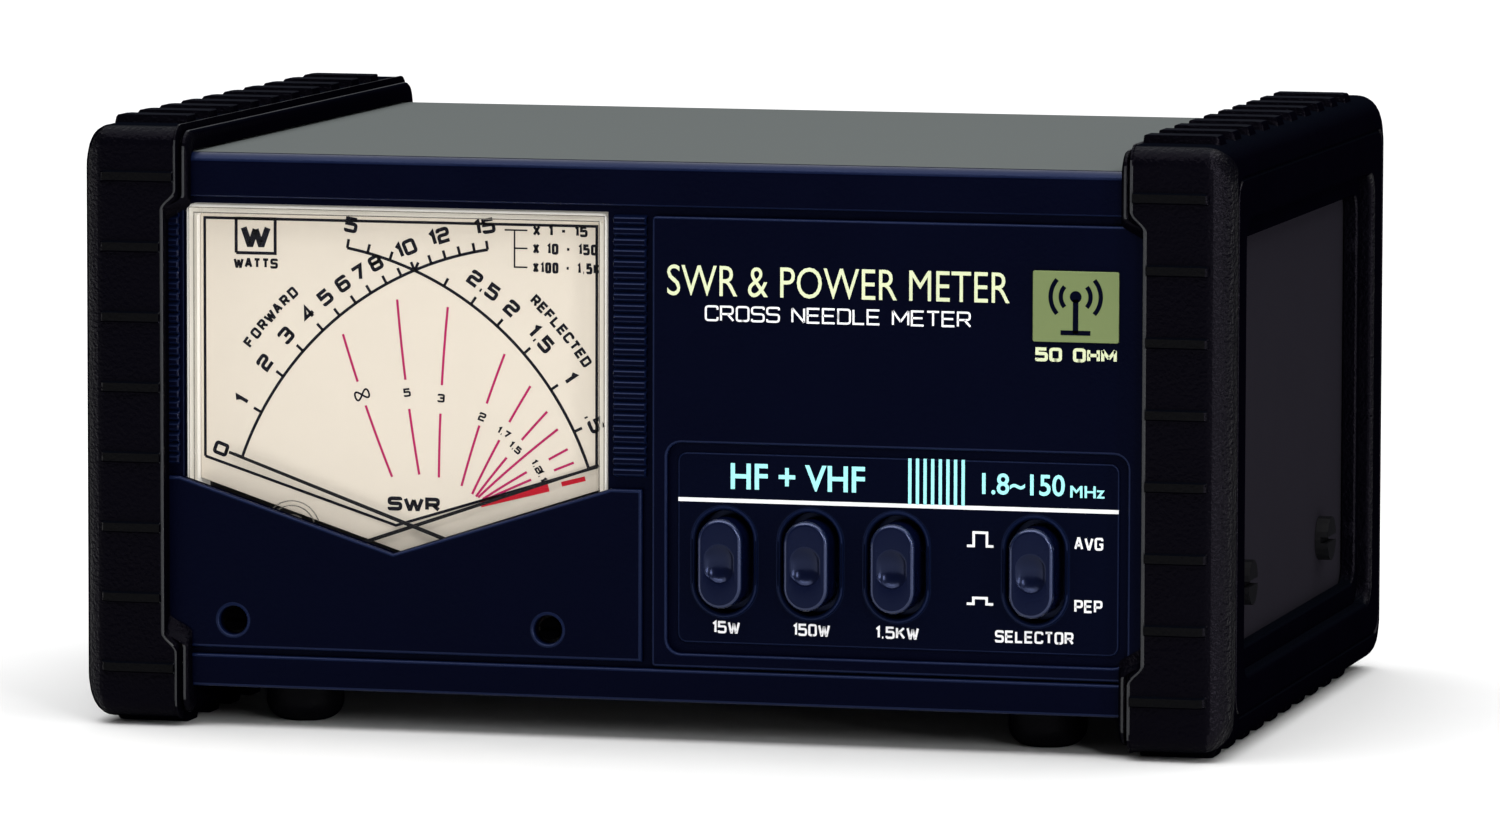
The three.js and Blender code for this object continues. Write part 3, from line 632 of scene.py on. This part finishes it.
def guard_shape():
    """A closed skin of rings across a guard, from its inner wall out to the side window and
    back inside. A ring's x and insets may depend on the share of the waist."""
    columns = guard_columns()
    even = (0.0,) * 4

    def ring(x_of, inset_of, radius, proud=0.0):
        points = []
        for column in columns:
            y, z, _ = on_outline(column, even, CORNER)
            share = waist(z) if column[0] in ("front", "rear") else 0.0
            out = proud * rib_height(column, y, z)
            y, z, heading = on_outline(column, inset_of(share), radius)
            points.append((x_of(share), y + out * cos(heading), z + out * sin(heading)))
        return points

    def level(x, insets, radius, proud=0.0):
        return ring(lambda share: x, lambda share: insets, radius, proud)

    def wall(share):
        return TAB_X + (WAIST_X - TAB_X) * share

    def lip(share):
        return wall(share) + BEAD[-1][0] + (PLAIN_EDGE[-1][0] - BEAD[-1][0]) * share

    cavity = (1.95, 3.1, 3.9, 3.1)
    rings = [ring(wall, lambda share: cavity, 1.5)]
    for (tab_x, tab_y), (plain_x, plain_y) in zip(BEAD, PLAIN_EDGE):
        rings.append(ring(lambda share: wall(share) + tab_x + (plain_x - tab_x) * share,
                          lambda share: (tab_y + (plain_y - tab_y) * share,) * 4, CORNER))
    for dx, proud in ((0.06, 0.9), (0.2, 1)):
        rings.append(ring(lambda share: lip(share) + dx, lambda share: even, CORNER, proud))
    for x, proud in ((RIB_END, 1), (71.7, 1), (71.95, 0.75), (72.15, 0)):
        drop = FILLET - sqrt(FILLET ** 2 - (x - RIB_END) ** 2)
        rings.append(level(x, (drop,) * 4, CORNER + drop * 0.18, proud))
    for turn in quarter(8, 2):
        drop = FILLET * (1 - cos(turn))
        rings.append(level(HALF_WIDTH - FILLET * (1 - sin(turn)), (drop,) * 4,
                           CORNER + drop * 0.18))
    for x, drop in ((74.72, 4.12), (74.72, 4.42), (HALF_WIDTH, 4.6)):
        rings.append(level(x, (drop,) * 4, 7.22 - drop))
    depth, height = BODY
    hole, shelf = ((box["y"][0], depth - box["y"][1], box["z"][0], height - box["z"][1])
                   for box in (OPENING, LEDGE))
    for x, back_off, radius in ((HALF_WIDTH, 0.9, 3.9), (74.9, 0.45, 3.45), (74.6, 0.12, 3.1),
                                (74.2, 0.0, 3.0), (73.1, 0.0, 3.0)):
        rings.append(level(x, tuple(v - back_off for v in hole), radius))
    for x, back_off in ((73.0, 0.25), (72.9, 0.12), (72.7, 0.0), (71.2, 0.0)):
        rings.append(level(x, tuple(v - back_off for v in shelf), 2.2))
    rings.append(level(71.2, cavity, 1.5))
    return loft(rings, closed=True)


def on_guard(face):
    """1 on the crests of the ribs, lighter as a painted highlight, 2 on the raised line and the
    bead of the inner edge, much lighter as a painted highlight, 3 on the round edge between the
    front and the outer side."""
    centre = face.calc_center_median()
    ahead = max(-centre.y, centre.y - BODY[0])
    proud = max(ahead, -centre.z, centre.z - BODY[1])
    if ahead > 0.45 or proud > 0.9:
        return 1
    bead = abs(proud + 0.7) < 0.05 and abs(centre.x - TAB_X - 0.65) < 0.12
    lip = 0.05 < proud < 0.14 and centre.x < WAIST_X + 0.6
    if bead or lip:
        return 2
    return 3 if face.normal.y < -0.3 and 0.35 < face.normal.x < 0.92 else 0


for side in ("right", "left"):
    add(f"guard_shell_{side}", guard_shape(), [guard_black, rib_crest_highlight, guard_inner_edge_highlight, guard_round],
        replaces=[f"{side}_guard"], mirrored=side == "left",
        choose=on_guard)


# ---- front panel ----
def sawtooth(x):
    """A strip of fine horizontal ribs, closed at the back."""
    low, high = SAWTOOTH["z"]
    crest, root = SAWTOOTH["y"]
    pitch = (high - low) / SAWTOOTH["count"]
    back = BASE_Y + 0.3
    profile = [(back, low)]
    for k in range(SAWTOOTH["count"]):
        foot = low + k * pitch
        profile += [(root, foot), (crest + 0.1, foot + 0.2 * pitch), (crest, foot + 0.3 * pitch),
                    (crest, foot + 0.62 * pitch), (crest + 0.1, foot + 0.72 * pitch),
                    (root, foot + 0.92 * pitch)]
    profile.append((back, high))
    slices = [(x[0], 0.35), (x[0] + 0.18, 0.0), (x[1] - 0.18, 0.0), (x[1], 0.35)]
    return loft([[(at, min(depth + sunk, back), height) for depth, height in profile]
                 for at, sunk in slices])


def button_outline(x, grow, steps=20):
    return oval(x, BUTTON["z"], BUTTON["half_width"] + grow, BUTTON["half_height"] + grow, steps)


def button_rim(x):
    """The raised rim and well round one push button."""
    profile = [(1.45, 0.15), (1.42, -0.08), (1.30, -0.24), (1.14, -0.28), (0.98, -0.2),
               (0.84, 0.1), (0.76, 0.8), (0.7, 3.0), (1.45, 3.0)]
    return loft([at_depth(button_outline(x, grow), PLATE["y"] + back) for grow, back in profile],
                closed=True)


window = rectangle((LENS["x"][0] - 0.2, LENS["x"][1] + 0.2),
                   (LENS["z"][0] - 0.2, LENS["z"][1] + 0.2))
wells = [button_outline(x, 1.3, 16) for x in BUTTON_X.values()]
base = plate(rectangle((-69.5, 69.5), (4.4, 72.4)), BASE_Y + 0.1, 5.4, holes=[window, *wells],
             edge=0.05, steps=1)
top_profile = [(PANEL_BACK, TOP_BAR[1]), (PANEL_BACK, TOP_BAR[0]), (PANEL_Y + 0.2, TOP_BAR[0]),
               (PANEL_Y, TOP_BAR[0] + 0.2)]
top_profile += [(PANEL_Y + 1.3 * (1 - cos(turn)), TOP_BAR[1] - 1.3 * (1 - sin(turn)))
                for turn in quarter(8)]
top_bar = loft([[(x, y, z) for y, z in top_profile] for x in (-69.7, 69.7)])
bottom_bar = plate(rectangle((-69.7, 69.7), BOTTOM_BAR), PANEL_Y, PANEL_BACK, edge=0.4)
right_field = plate(rectangle((0.1, 69.7), PANEL_Z, 0.5), PANEL_Y, PANEL_BACK,
                    holes=[rectangle(RECESS["x"], RECESS["z"], 1.8)], edge=0.32)
strips = [sawtooth(x) for x in ((-5.1, -0.75), (-66.0, -62.5))]


def on_panel(face):
    """1 on rounded moulded edges, lighter as a painted highlight, 0 on flat faces."""
    return 1 if 0.15 < abs(face.normal.y) < 0.97 else 0


add("front_panel", together(base, top_bar, bottom_bar, right_field, *strips), [navy, navy_rounding_highlight],
    replaces=["front_bezel"], choose=on_panel)

mask = plate(MASK, PANEL_Y, 3.5, edge=0.4,
             holes=[circle(x, z, 1.9) for x, z in ADJUSTER_HOLES])
collars = [loft([at_depth(circle(x, z, radius), PANEL_Y + back) for radius, back in
                 ((2.3, 0.1), (2.2, -0.05), (2.02, -0.1), (1.9, 0), (1.82, 0.5), (1.82, 2.2),
                  (2.3, 2.2))], closed=True) for x, z in ADJUSTER_HOLES]
add("meter_mask_panel", together(mask, *collars), [navy, navy_rounding_highlight],
    replaces=["meter_mask"], choose=on_panel)

inner_plate = plate(rectangle(PLATE["x"], PLATE["z"], 1.2), PLATE["y"], PANEL_BACK,
                    holes=wells, edge=0.22)
rims = [button_rim(x) for x in BUTTON_X.values()]
add("switch_panel", together(inner_plate, *rims), [navy_plate, navy_rounding_highlight],
    replaces=["switch_plate"], choose=on_panel)


def button_cap(x):
    """A stadium-shaped cap on a flange and stem, with a rounded front edge and a thumb dimple."""
    front, back, stem = BUTTON["front"], BUTTON["back"], BUTTON["stem"]
    outline = [(0.9, back + 1), (0.9, back), (0.0, back), (0.0, front + 1.2)]
    outline += [(-0.62 * (1 - cos(turn)), front + 0.62 * (1 - sin(turn)))
                for turn in quarter(6, 1)]
    rings = [at_depth(oval(x, BUTTON["z"], stem, stem, 20), y)
             for y in (BUTTON["stem_end"], back + 1)]
    rings += [at_depth(button_outline(x, grow), y) for grow, y in outline]
    for k in range(9):
        share = 1 - k / 8.3
        rings.append(at_depth(oval(x, BUTTON["z"], 1.98 * share, 2.55 * share, 20),
                              front + 0.85 * (1 - share ** 2.6)))
    return loft(rings)


def on_cap(face):
    """1 on the rounded front edge of a cap, lighter as a painted highlight, 2 in its dimple,
    a little darker as painted shade, 0 elsewhere.
    """
    centre = face.calc_center_median()
    across = min(abs(centre.x - x) for x in BUTTON_X.values())
    if centre.y > BUTTON["front"] + 1.1:
        return 0
    if across > 2.2 or abs(centre.z - BUTTON["z"]) > 3.6:
        return 1 if 0.1 < abs(face.normal.y) < 0.97 else 0
    return 2 if centre.y > BUTTON["front"] + 0.01 else 0


def return_coil(x):
    """The coil spring between a button's flange and its switch."""
    (start, end), steps = COIL["ends"], 112
    rings = []
    for k in range(steps + 1):
        turn = 2 * pi * COIL["turns"] * k / steps
        along = start + (end - start) * k / steps
        rings.append([(x + (COIL["radius"] + u) * cos(turn), along + v,
                       BUTTON["z"] + (COIL["radius"] + u) * sin(turn))
                      for u, v in circle(0, 0, COIL["wire"], 8)])
    return loft(rings)


for name, x in BUTTON_X.items():
    add(f"{name}_cap", button_cap(x), [cap_navy, cap_rim_highlight, cap_dimple], body=name,
        replaces=[f"{name}_button"], sharp=50, choose=on_cap)
    coil = add(f"{name}_return_coil", return_coil(x), nickel, body=None,
               replaces=[f"{name}_spring"])
    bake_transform(coil)


# ---- printing on the front panel ----
def pulse(centre, height):
    x, z = centre
    steps = [(-1.7, 0), (-0.85, 0), (-0.85, height), (0.85, height), (0.85, 0), (1.7, 0)]
    return ribbon([(x + u, z + v) for u, v in steps], 0.32, PLATE["y"])


add("title", lettering("SWR & POWER METER", (24.2, 57.8), 3.9, PANEL_Y, 44.2, bold=-0.002),
    ink_gold)
add("subtitle", stroked("CROSS NEEDLE METER", (24.2, 53.7), 2.0, PANEL_Y, 34.4, 0.25), ink_white)

on_plate = [ribbon([(3.4, 30.0), (60.2, 30.0)], 0.5, PLATE["y"])]
for text, place, height, width in (
        ("15W", (9.6, 13.9), 1.55, 3.7), ("150W", (20.7, 13.9), 1.55, 4.9),
        ("1.5KW", (31.8, 13.9), 1.55, 5.7), ("SELECTOR", (49.5, 13.9), 1.55, 10.1),
        ("AVG", (56.4, 25.9), 1.6, 3.7), ("PEP", (56.4, 18.0), 1.6, 3.6)):
    on_plate.append(stroked(text, place, height, PLATE["y"], width, 0.28))
on_plate += [pulse((42.5, 25.2), 1.7), pulse((42.5, 17.9), 0.75)]
add("switch_labels", together(*on_plate), ink_white)

in_cyan = [lettering(text, place, height, PLATE["y"], width, bold=0.016)
           for text, place, height, width in (("HF + VHF", (18.9, 33.1), 3.3, 17.4),
                                              ("1.8~150", (48.0, 33.1), 2.7, 10.6),
                                              ("MHz", (56.2, 32.4), 1.5, 4.4))]
in_cyan += [ribbon([(33.4 + 0.98 * k, 30.2), (33.4 + 0.98 * k, 36.0)], 0.42, PLATE["y"])
            for k in range(8)]
add("band_labels", together(*in_cyan), ink_cyan)

add("badge_panel", plate(rectangle(BADGE["x"], BADGE["z"], 0.25), BADGE["y"], PANEL_Y + 0.1,
                         edge=0.12), badge_gold, replaces=["badge_plate"])
aerial = [ribbon([(54.8, 52.3), (54.8, 56.6)], 0.7, BADGE["y"]),
          ribbon([(52.9, 52.4), (56.7, 52.4)], 0.6, BADGE["y"]),
          plate(circle(*AERIAL, 0.75), BADGE["y"] - INK, BADGE["y"] + 0.05, edge=0.01, steps=1)]
for radius in (1.9, 3.2):
    for facing in (0, 180):
        wave = [spun(AERIAL, radius, 0, facing + turn) for turn in range(-42, 43, 6)]
        aerial.append(ribbon(wave, 0.55, BADGE["y"]))
add("badge_pictogram", together(*aerial), navy)
add("impedance_label", stroked("50 OHM", (54.8, 49.6), 1.75, PANEL_Y, 10.4, 0.4), ink_gold)


# ---- dial ----
def polar(centre, radius, angle):
    return spun((centre["x"], centre["z"]), radius, 0, angle)


def arc(centre, radius, start, end, steps=60):
    return [polar(centre, radius, start + (end - start) * k / steps) for k in range(steps + 1)]


def between(values, at):
    """The value at a place in a row that may lie between two of them."""
    k = min(int(at), len(values) - 2)
    return values[k] + (values[k + 1] - values[k]) * (at - k)


def scale_marks(centre, angles, numbers, letters, letter_at, letter_rise):
    """A curved scale with a mark at each angle, its numbers and its name along the arc.

    numbers gives each number's place in the row of angles, and letter_at is the angle of the
    name's middle with the step between its letters.
    """
    radius = centre["radius"]
    marks = [ribbon(arc(centre, radius, angles[0], angles[-1]), 0.38, DIAL_Y)]
    marks += [ribbon([polar(centre, radius, a), polar(centre, radius + 1.15, a)], 0.36, DIAL_Y)
              for a in angles]
    for number, place in numbers.items():
        a = between(angles, place)
        marks.append(stroked(number, polar(centre, radius + 3.0, a), 2.0, DIAL_Y,
                             stroke=0.46, angle=a - 90))
    middle, step = letter_at
    for k, letter in enumerate(letters):
        a = middle - (k - (len(letters) - 1) / 2) * step
        marks.append(stroked(letter, polar(centre, radius + letter_rise, a), 1.4, DIAL_Y,
                             width=1.5 if letter == "W" else 1.1, stroke=0.34, angle=a - 90))
    return marks


def swr_line(top, bottom, gap, bow=0.25):
    """One standing-wave line, bowed a little to the left, left open where its number stands."""
    points = []
    for k in range(25):
        t = k / 24
        x = bottom[0] + (top[0] - bottom[0]) * t - bow * 4 * t * (1 - t)
        points.append((x, bottom[1] + (top[1] - bottom[1]) * t))
    if not gap:
        return [points]
    return [[p for p in points if p[1] <= gap[0]], [p for p in points if p[1] >= gap[1]]]


def infinity(centre, width, lean):
    """A lying figure of eight."""
    loop = []
    for k in range(33):
        a = 2 * pi * k / 32
        loop.append(spun(centre, width / 2 * cos(a), width / 2 * 1.15 * sin(a) * cos(a), lean))
    return ribbon(loop, 0.24, DIAL_Y)


add("dial_face", plate([(-60.55, 30.6), (-33.98, 21.9), (-7.4, 30.6), (-7.4, 64.6),
                        (-60.55, 64.6)], DIAL_Y, 6.4, edge=0.05, steps=1),
    dial_cream, replaces=["dial_plate"])

black = scale_marks(FORWARD, FORWARD_ANGLES,
                    {**{str(n): n for n in range(9)}, "10": 10, "12": 12, "15": 15},
                    "FORWARD", (138.0, 1.72), 6.2)
black += scale_marks(REFLECTED, REFLECTED_ANGLES,
                     {".5": 1, "1": 2, "1.5": 3, "2": 4, "2.5": 5, "5": 10},
                     "REFLECTED", (41.0, 1.52), 5.9)
border = [(-60.0, 33.4), (-60.0, 64.0), (-8.1, 64.0), (-8.1, 33.4), (-34.6, 25.2), (-60.0, 33.4)]
black.append(ribbon(border, 0.36, DIAL_Y))
black.append(stroked("SWR", (-32.2, 28.0), 1.8, DIAL_Y, 7.0, 0.48))
black.append(ribbon([(-20.2, 63.3), (-18.9, 63.3), (-18.9, 58.6), (-17.2, 58.6)], 0.2, DIAL_Y))
black += [ribbon([(-18.9, z), (-17.2, z)], 0.2, DIAL_Y) for z in (63.3, 61.0)]
for text, z, width in (("X 1 - 15", 63.3, 7.2), ("X 10 - 150", 61.0, 8.5),
                       ("X100 - 1.5K", 58.6, 8.8)):
    black.append(stroked(text, (-16.5 + width / 2, z), 1.4, DIAL_Y, width, 0.35))
SWR_LINES = (("", (-41.6, 49.5), (-35.1, 31.4), (40.7, 42.9)),
             ("5", (-34.4, 54.1), (-31.5, 31.8), (41.0, 43.5)),
             ("3", (-27.7, 53.3), (-28.9, 31.5), (40.4, 42.9)),
             ("2", (-20.2, 47.5), (-25.9, 30.5), (38.3, 40.5)),
             ("1.7", (-16.8, 43.5), (-24.5, 29.5), (36.5, 38.5)),
             ("1.5", (-14.6, 40.3), (-24.0, 29.2), (34.7, 36.5)),
             ("", (-13.2, 38.1), (-23.7, 29.1), None),
             ("1.2", (-11.9, 35.6), (-23.1, 28.9), (32.6, 34.0)),
             ("1.1", (-11.1, 33.9), (-22.8, 28.8), (31.6, 32.7)))
magenta = []
for label, top, bottom, gap in SWR_LINES:
    magenta += [ribbon(run, 0.30, DIAL_Y) for run in swr_line(top, bottom, gap)]
    if gap:
        t = (sum(gap) / 2 - bottom[1]) / (top[1] - bottom[1])
        middle = (bottom[0] + (top[0] - bottom[0]) * t - t * (1 - t), sum(gap) / 2)
        lean = degrees(atan2(top[1] - bottom[1], top[0] - bottom[0])) - 90
        if label:
            black.append(stroked(label, middle, 1.1 if len(label) == 1 else 0.95, DIAL_Y,
                                 stroke=0.24, angle=lean))
        else:
            black.append(infinity(middle, 1.9, lean))
add("dial_printing", together(*black), ink_black)
add("swr_curves", together(*magenta), ink_magenta)
add("red_zone", together(ribbon([(-23.4, 28.3), (-14.4, 30.6)], 0.95, DIAL_Y),
                         ribbon([(-12.7, 31.1), (-9.6, 31.9)], 0.6, DIAL_Y)), ink_red)
emblem = [ribbon([(-55.8, 59.6), (-55.8, 64.0), (-50.6, 64.0), (-50.6, 59.6), (-55.8, 59.6)],
                 0.4, DIAL_Y), stroked("W", (-53.2, 61.8), 2.9, DIAL_Y, 4.0, 0.8),
          stroked("WATTS", (-53.2, 58.3), 1.3, DIAL_Y, 5.9, 0.32)]
add("dial_emblem", together(*emblem), ink_black)


# ---- meter lens ----
def lens_shape():
    """A clear moulded box, open at the back, with rounded front edges and two screw holes."""
    x, z, wall = LENS["x"], LENS["z"], LENS["wall"]
    front, back = LENS["y"]

    def ring(by, y, radius):
        return at_depth(rectangle((x[0] + by, x[1] - by), (z[0] + by, z[1] - by), radius), y)

    rings = [ring(wall, front + LENS_FACE, 0.5), ring(wall, back, 0.5), ring(0, back, 0.8)]
    for turn in quarter(4):
        rings.append(ring(0.5 * (1 - cos(turn)), front + 0.5 * (1 - sin(turn)), 0.8))
    bores = [circle(u, v, LENS_BORE)[::-1] for u, v in ADJUSTER_HOLES]
    tubes = [loft([at_depth(bore, y) for y in (front, front + LENS_FACE)], caps=False)
             for bore in bores]
    sheets = [cap([[(u, v) for u, _, v in rings[at]]] + bores, rings[at][0][1]) for at in (0, -1)]
    return together(loft(rings, caps=False), *tubes, *sheets)


def on_lens(face):
    """0 for the face plate and its bores, 1 for the side walls and their rounded edge, whose
    cream colour and glow are painted light.
    """
    centre = face.calc_center_median()
    if any(hypot(centre.x - x, centre.z - z) < LENS_BORE + 0.1 for x, z in ADJUSTER_HOLES):
        return 0
    front = LENS["y"][0]
    near_face = centre.y < front + 0.02 or abs(centre.y - front - LENS_FACE) < 0.02
    low_wall = centre.z < LENS["z"][0] + 2
    return 0 if low_wall or (near_face and abs(face.normal.y) > 0.9) else 1


add("meter_window", lens_shape(), [lens_face, lens_wall],
    replaces=["meter_lens"], choose=on_lens)

mould_arcs_and_edge_shade = [ribbon(arc({"x": -48.0, "z": 24.4}, radius, 20, 165, 24), 0.16,
                      LENS["y"][0] + LENS_FACE) for radius in (3.7, 3.1, 1.9)]
# Two loops along the lens's left, top and right edges are painted shade: grey lines standing in for
# how the clear walls' edges show through the face.
for by, width in ((0.42, 0.10), (1.08, 0.16)):
    left, right, top = LENS["x"][0] + by, LENS["x"][1] - by, LENS["z"][1] - by
    mould_arcs_and_edge_shade.append(ribbon([(left, 22), (left, top), (right, top), (right, 22)], width,
                              LENS["y"][0]))
add("lens_mould_lines", together(*mould_arcs_and_edge_shade), lens_arc_and_edge_shade_grey)


# ---- needles ----
def needle_shape(centre, rest, y, length):
    """A flat blade with a fine tip, a round hub and a short balance tail."""
    pivot = (centre["x"], centre["z"])
    blade = []
    for along, half_width in ((-4.5, 0.42), (-1.0, 0.34), (0, 0.32), (6, 0.26), (length, 0.18)):
        p, q = (spun(pivot, along, side, rest) for side in (half_width, -half_width))
        blade.append([(u, depth, v) for (u, v), depth in
                      ((p, y), (q, y), (q, y + 0.2), (p, y + 0.2))])
    hub = turned("y", pivot,
                 [(0, y - 0.05), (0.9, y - 0.05), (1.2, y + 0.1), (1.2, y + 0.45), (0, y + 0.45)])
    return together(loft(blade), hub)


for name, centre, rest, y in (("forward", FORWARD, 160.2, 4.8),
                              ("reflected", REFLECTED, 19.0, 5.3)):
    add(f"{name}_pointer", needle_shape(centre, rest, y, centre["radius"] + 1.6), needle_black,
        body=f"{name}_movement", replaces=[f"{name}_needle"])


# ---- feet ----
for node in (f"foot_{end}_{side}" for end in ("front", "rear") for side in ("left", "right")):
    low, high = bench_box(node)
    centre = ((low.x + high.x) / 2, (low.y + high.y) / 2)
    radius = (high.x - low.x) / 2
    profile = [(0, 0.6), (2.0, 0.6), (2.2, -0.5), (2.5, -1.0)]
    profile += [(radius - 2.6 * (1 - sin(turn)), -1.0 + 2.6 * (1 - cos(turn)))
                for turn in quarter(8)]
    profile += [(radius, 3.5), (radius - 0.3, 3.8), (0, 3.8)]
    add(node + "_bumper", turned("z", centre, profile, 40), rubber,
        replaces=[node], sharp=40)


# ---- rear panel details ----
def flange_screw(x, z, face):
    """A pan-head machine screw with a round drive recess, seen from behind."""
    profile = [(0, face - 0.1), (1.5, face - 0.1), (1.55, face + 0.5), (1.3, face + 0.85),
               (0.9, face + 1.0), (0.6, face + 1.0), (0.5, face + 0.6), (0, face + 0.55)]
    return turned("y", (x, z), profile, 20)


def behind(shape, y):
    """A front-facing drawing turned to face the back, on a surface at depth y."""
    verts, faces = shape
    return [(-u, y - v, w) for u, v, w in verts], faces


flange_low, flange_high = bench_box("antenna_socket_shell")
rear_y = bench_box("chassis")[1].y
flange_y = rear_y + 1.8
middle_z = (flange_low.z + flange_high.z) / 2
socket_x = (flange_low.x + flange_high.x) / 2
reach = (flange_high.x - flange_low.x) / 2 - 3.6
add("socket_flange_screws", together(*[flange_screw(side * socket_x + dx, middle_z + dz, flange_y)
                                       for side in (-1, 1) for dx in (-reach, reach)
                                       for dz in (-reach, reach)]), nickel)
jack_low, jack_high = bench_box("dc_jack")
jack = ((jack_low.x + jack_high.x) / 2, jack_low.z)
line_z = middle_z + reach + 4.6
rear_text = [stroked("TX", (socket_x, line_z + 2.0), 2.6, 0, 4.8, 0.4),
             stroked("ANT", (-socket_x, line_z + 2.0), 2.6, 0, 7.4, 0.4),
             stroked("13.8V DC", (-jack[0], jack[1] - 3.0), 2.3, 0, 14.2, 0.36)]
rear_text += [ribbon([(x - 13.2, line_z), (x + 13.2, line_z)], 0.3, 0)
              for x in (-socket_x, socket_x)]
add("rear_labels", behind(together(*rear_text), rear_y), ink_white)


# ---- carried-over CAD nodes ----
BY_ENDING = {
    "top_cover": cover_paint, "chassis": rear_paint, "meter_base": meter_black,
    "lamp_holder": meter_black, "meter_lamp": lamp_glass, "_switch": meter_black,
    "_board": board, "coupler_box": zinc, "coupler_lid": zinc, "line_rod": brass,
    "toroid_core": ferrite, "dc_jack": meter_black, "_lead": wire_red, "_coil": copper,
    "_magnet": magnet, "_zero_screw": screw_black_painted_shade, "_shell": nickel, "_insulator": insulator,
    "_contact": brass,
}
for name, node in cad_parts.items():
    if node.hide_render:
        continue
    finish = next((BY_ENDING[e] for e in BY_ENDING if name.endswith(e)), steel)
    node.data.materials.clear()
    node.data.materials.append(finish)
    rounding = node.modifiers.new("edge_rounding", "BEVEL")
    rounding.width, rounding.segments, rounding.limit_method = 0.12 * MM, 2, "ANGLE"
    rounding.angle_limit = radians(40)


# ---- camera, light and stage ----
CAMERA = {"place": (317.22, -1186.13, 163.32), "azimuth": 14.3646, "elevation": 5.6868, "roll": 0.1388}
camera_data = bpy.data.cameras.new("camera")
camera_data.lens, camera_data.sensor_width = 235.3, 36.0
camera_data.clip_start, camera_data.clip_end = 0.05, 20.0
camera = linked("camera", camera_data)
camera.matrix_world = (Matrix.Translation(TO_ROW @ Vector(CAMERA["place"]))
                       @ Matrix.Rotation(radians(CAMERA["azimuth"]), 4, "Z")
                       @ Matrix.Rotation(radians(90 - CAMERA["elevation"]), 4, "X")
                       @ Matrix.Rotation(radians(CAMERA["roll"]), 4, "Z"))
bpy.context.scene.camera = camera


def area_light(name, place, aim, size, watts):
    data = bpy.data.lights.new(name, "AREA")
    data.shape, data.size, data.size_y = "RECTANGLE", size[0], size[1]
    data.energy = watts
    lamp = linked(name, data)
    lamp.location = place
    lamp.rotation_euler = (Vector(aim) - Vector(place)).to_track_quat("-Z", "Y").to_euler()


area_light("ceiling_softbox", (0, 0.5, 2.4), (0, 0.5, 0), (5.0, 5.0), 225)
area_light("front_softbox", (-0.15, -0.80, 1.0), (0, 0, 0.04), (0.9, 0.08), 2.5)
area_light("key_softbox", (0.62, -0.95, 0.44), (0.02, 0, 0.03), (0.15, 0.34), 3.2)
area_light("right_strip", (0.95, -0.60, 0.20), (0.06, -0.02, 0.04), (0.07, 0.4), 2.8)

world = bpy.data.worlds.new("studio")
world.use_nodes = True
world.node_tree.nodes["Background"].inputs["Color"].default_value = (1, 1, 1, 1)
world.node_tree.nodes["Background"].inputs["Strength"].default_value = 0.12
bpy.context.scene.world = world
bpy.context.scene.view_settings.view_transform = "Standard"

floor_mesh = bpy.data.meshes.new("studio_floor")
floor_mesh.from_pydata([(-12, -12, 0), (12, -12, 0), (12, 12, 0), (-12, 12, 0)], [],
                       [(0, 1, 2, 3)])
floor_mesh.materials.append(finish_of("studio_white", (0.68, 0.68, 0.68), 0.85, tone=0.01,
                                      specular=0.1))
linked("studio_floor", floor_mesh)
